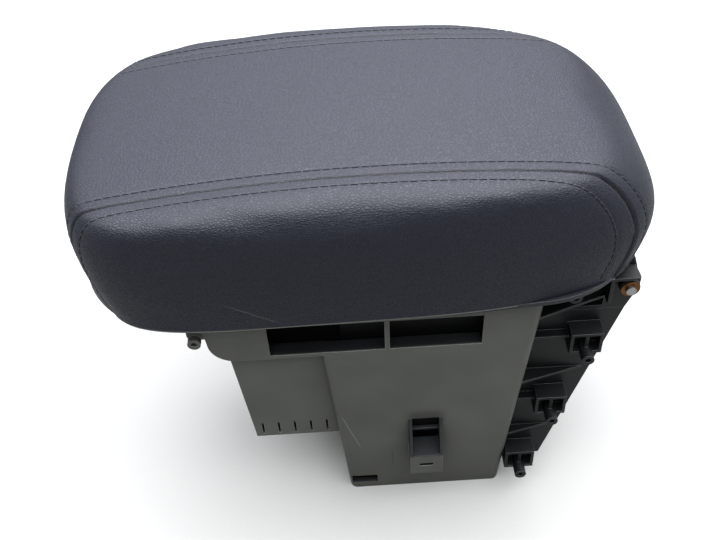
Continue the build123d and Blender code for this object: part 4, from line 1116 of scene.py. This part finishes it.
    def build(self) -> list[bpy.types.Object]:
        """Build and dress the lid's soft pieces.

        Returns:
            The pieces.
        """
        leather, thread = self.leather.material(), self.thread.material()
        cushion = self.make_cushion()
        pieces = []
        nodes = {
            Panel.CENTRE: "cover_centre_panel",
            Panel.NEAR: "cover_near_panel",
            Panel.FAR: "cover_far_panel",
        }
        panels = {panel: self.make_panel(panel, cushion) for panel in Panel}
        for panel, piece in panels.items():
            dress(piece, leather)
            settle(piece, nodes[panel])
            pieces.append(piece)
        for side, word in ((-1, "near"), (1, "far")):
            inner = side * (self.seam - self.stitch_row)
            outer = side * (self.seam + self.stitch_row)
            outer_panel = panels[Panel(side)]
            for y, panel, place in ((inner, panels[Panel.CENTRE], "inner"), (outer, outer_panel, "outer")):
                row = self.make_row(panel, y, f"topstitch_{word}_{place}")
                dress(row, thread)
                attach(row, LID_BODY)
                pieces.append(row)
        self.make_padding(cushion)
        dress(cushion, self.foam.material())
        settle(cushion, "lid_foam")
        pieces.append(cushion)
        return pieces


@dataclass
class Mouldings:
    """Rigid CAD nodes and the finish of each."""

    # Polypropylene moulded in a spark-eroded tool: an even matte skin with faint flow clouds, scuffs and
    # two scratches, a painted highlight along its edges and painted shade in its recesses. The spark
    # texture is drawn
    # 0.8 to 0.9 mm wide on all the mouldings, coarser than the real 0.1 to 0.2 mm.
    grey: MouldedPlastic = MouldedPlastic(
        "polypropylene_grey_moulded",
        colour="#3d3e3b",
        light_colour="#494a47",
        texture_mm=0.9,
        roughness=0.55,
        edge_highlight_colour="#8c8e8a",
        edge_highlight_strength=0.55,
        marks=(
            Scratch((-20.0, -72.1, 95.0), (-7.0, -69.0, 50.0), 0.4, 0.25, "#9c9d99"),
            Scratch((13.5, -67.5, 28.0), (13.5, -68.9, 48.0), 0.45, 0.6, "#1a1a19"),
        ),
        # Painted shade in the mouth of the clip tower, a painted shadow above it, and painted shade in its
        # slot, the foot slot and on the window ledges.
        shaded_hollows=(
            ShadedHollow((24.9, -84.0, 57.6), (47.1, -55.0, 84.5), 0.5, 0.85),
            ShadedHollow((29.0, -74.0, 84.0), (43.0, -68.0, 88.0), 9.0, 0.45),
            ShadedHollow((31.3, -81.3, 41.5), (40.7, -70.0, 49.0), 0.15, 0.95),
            ShadedHollow((-15.6, -66.1, 6.4), (2.6, -55.0, 15.6), 0.15, 0.9),
            ShadedHollow((-58.0, -75.6, 158.5), (68.5, -50.0, 189.0), 0.8, 0.85),
        ),
    )
    # The same skin in black, where only the painted highlight along the edges stands out, as grey lines.
    black: MouldedPlastic = MouldedPlastic(
        "polypropylene_black_moulded", "#050607", "#0c0e10", 0.8, 0.5, "#54565a", 0.5
    )
    # Duller black of the tub, whose edges get only a faint, dark painted highlight.
    liner: MouldedPlastic = MouldedPlastic(
        "polypropylene_liner_moulded", "#080809", "#0e0f10", 0.9, 0.6, "#2a2b2d", 0.3
    )
    # ABS from the same kind of tool: a little glossier and bluer, to go with the cover, with a painted
    # highlight on its edges.
    base: MouldedPlastic = MouldedPlastic(
        "abs_lid_base_moulded", "#14161a", "#1a1c20", 0.8, 0.5, "#54565a", 0.4
    )
    # Drawn or pressed steel, zinc plated in a drum: a patchy grey lustre, broken by streaks along the
    # part. The streaks are drawn 0.4 mm wide on all the steel, coarser than real drawing marks.
    steel: PlatedSteel = PlatedSteel("steel_zinc_plated", "#9a9b9c", "#7c7f82", 1.0, 0.34)
    # Spring steel with a yellow passivated coat: the same lustre, warm brown.
    ring: PlatedSteel = PlatedSteel("spring_steel_yellow_passivated", "#7a5a3c", "#5a4632", 1.0, 0.4)
    # Pressed steel under black dipped paint: a smooth dull film that hides the metal.
    coated: PlatedSteel = PlatedSteel("steel_black_electrocoat", "#17181a", "#1f2022", 0.0, 0.42)
    # Rubber from a plain mould: dull, dark and slightly dusty. The dust is drawn 0.6 mm wide, coarser
    # than it is.
    rubber: FineGrit = FineGrit("rubber_buffer_moulded", "#151515", "#1f1f1f", 0.6, 0.85, 0.06)

    def build(self) -> list[bpy.types.Object]:
        """Dress every rigid node.

        Returns:
            The dressed objects.
        """
        wear = {
            self.grey: ("storage_bin",),
            self.black: ("rear_frame", "hinge_bracket", "latch_lever", "lid_carrier"),
            self.liner: ("bin_liner",),
            self.base: ("lid_base",),
            self.steel: (
                "rear_frame_screws",
                "hinge_bracket_screws",
                "hinge_pin",
                "hinge_leaf_screws",
                "lid_base_screws",
                "latch_striker",
                "latch_striker_screws",
                "latch_pin",
                "latch_spring",
            ),
            self.ring: ("hinge_pin_rings",),
            self.coated: ("hinge_leaf",),
            self.rubber: ("rim_buffers",),
        }
        done = []
        for finish, names in wear.items():
            material = finish.material()
            for name in names:
                dress(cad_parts[name], material)
                done.append(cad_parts[name])
        return done


@dataclass(frozen=True)
class Softbox:
    """A soft square light that faces the lid, in metres and watts."""

    name: str
    place: Triple
    size: float
    watts: float
    colour: str = "#fcfdff"
    aim: Triple = (0.0, 0.0, 0.2)

    def build(self) -> None:
        """Add the light."""
        lamp = bpy.data.lights.new(self.name, "AREA")
        lamp.size = self.size
        lamp.energy = self.watts
        lamp.color = linear(self.colour)[:3]
        stand = bpy.data.objects.new(self.name, lamp)
        bpy.context.collection.objects.link(stand)
        stand.location = self.place
        aim = Vector(self.aim) - Vector(self.place)
        stand.rotation_euler = aim.to_track_quat("-Z", "Y").to_euler()


@dataclass
class Studio:
    """Pale floor, soft lights and the camera."""

    floor_size: float = 6.0
    softboxes: tuple[Softbox, ...] = (
        Softbox("back_softbox", (0.0, 1.3, 1.3), 2.2, 20.0, "#f4f6ff"),
        Softbox("top_softbox", (0.05, -0.1, 1.5), 2.8, 150.0),
        Softbox("right_softbox", (1.3, 0.2, 1.0), 1.2, 10.0),
        Softbox("left_softbox", (-1.3, 0.2, 1.0), 1.2, 5.0),
    )
    world_colour: str = "#ffffff"
    world_strength: float = 0.35
    camera_place: Triple = (-3.905, -433.609, 566.270)
    right: Triple = (0.99811159, -0.04537178, -0.04140842)
    down: Triple = (-0.06126418, -0.6862602, -0.72477144)
    forward: Triple = (0.00446722, 0.72593962, -0.68774393)
    lens: float = 44.95
    nearest: float = 0.01
    # Matte paper from a roll: even and pale. Its fibres are drawn 1.5 mm wide, coarser than they are.
    paper: FineGrit = FineGrit("paper_floor_matte", "#828281", "#868685", 1.5, 0.9, 0.02)

    def build(self) -> None:
        """Set the floor, the lights, the world and the camera."""
        bpy.ops.object.select_all(action="DESELECT")
        bpy.ops.mesh.primitive_plane_add(size=self.floor_size)
        floor = bpy.context.active_object
        floor.name = "studio_floor"
        dress(floor, self.paper.material())
        for softbox in self.softboxes:
            softbox.build()
        world = bpy.data.worlds.new("studio_world")
        world.use_nodes = True
        sky = world.node_tree.nodes["Background"]
        sky.inputs["Color"].default_value = linear(self.world_colour)
        sky.inputs["Strength"].default_value = self.world_strength
        bpy.context.scene.world = world
        camera = bpy.data.objects.new("photo_camera", bpy.data.cameras.new("photo_camera"))
        bpy.context.collection.objects.link(camera)
        camera.data.lens = self.lens
        camera.data.clip_start = self.nearest
        axes = Matrix((self.right, [-c for c in self.down], [-c for c in self.forward])).transposed()
        camera.matrix_world = Matrix.Translation(Vector(self.camera_place) * MM) @ axes.to_4x4()
        bpy.context.scene.camera = camera
        bpy.context.scene.view_settings.view_transform = "Standard"
        bpy.context.scene.view_settings.look = "High Contrast"


def main() -> None:
    """Build the studio and the sub-assemblies in order, and log the faces of each piece."""
    logging.basicConfig(level=logging.INFO, format="%(name)s: %(message)s")
    Studio().build()
    for assembly in (Mouldings(), PaddedLid()):
        for piece in assembly.build():
            log.info("%s: %d faces", piece.name, len(piece.data.polygons))


if __name__ == "__main__":
    main()
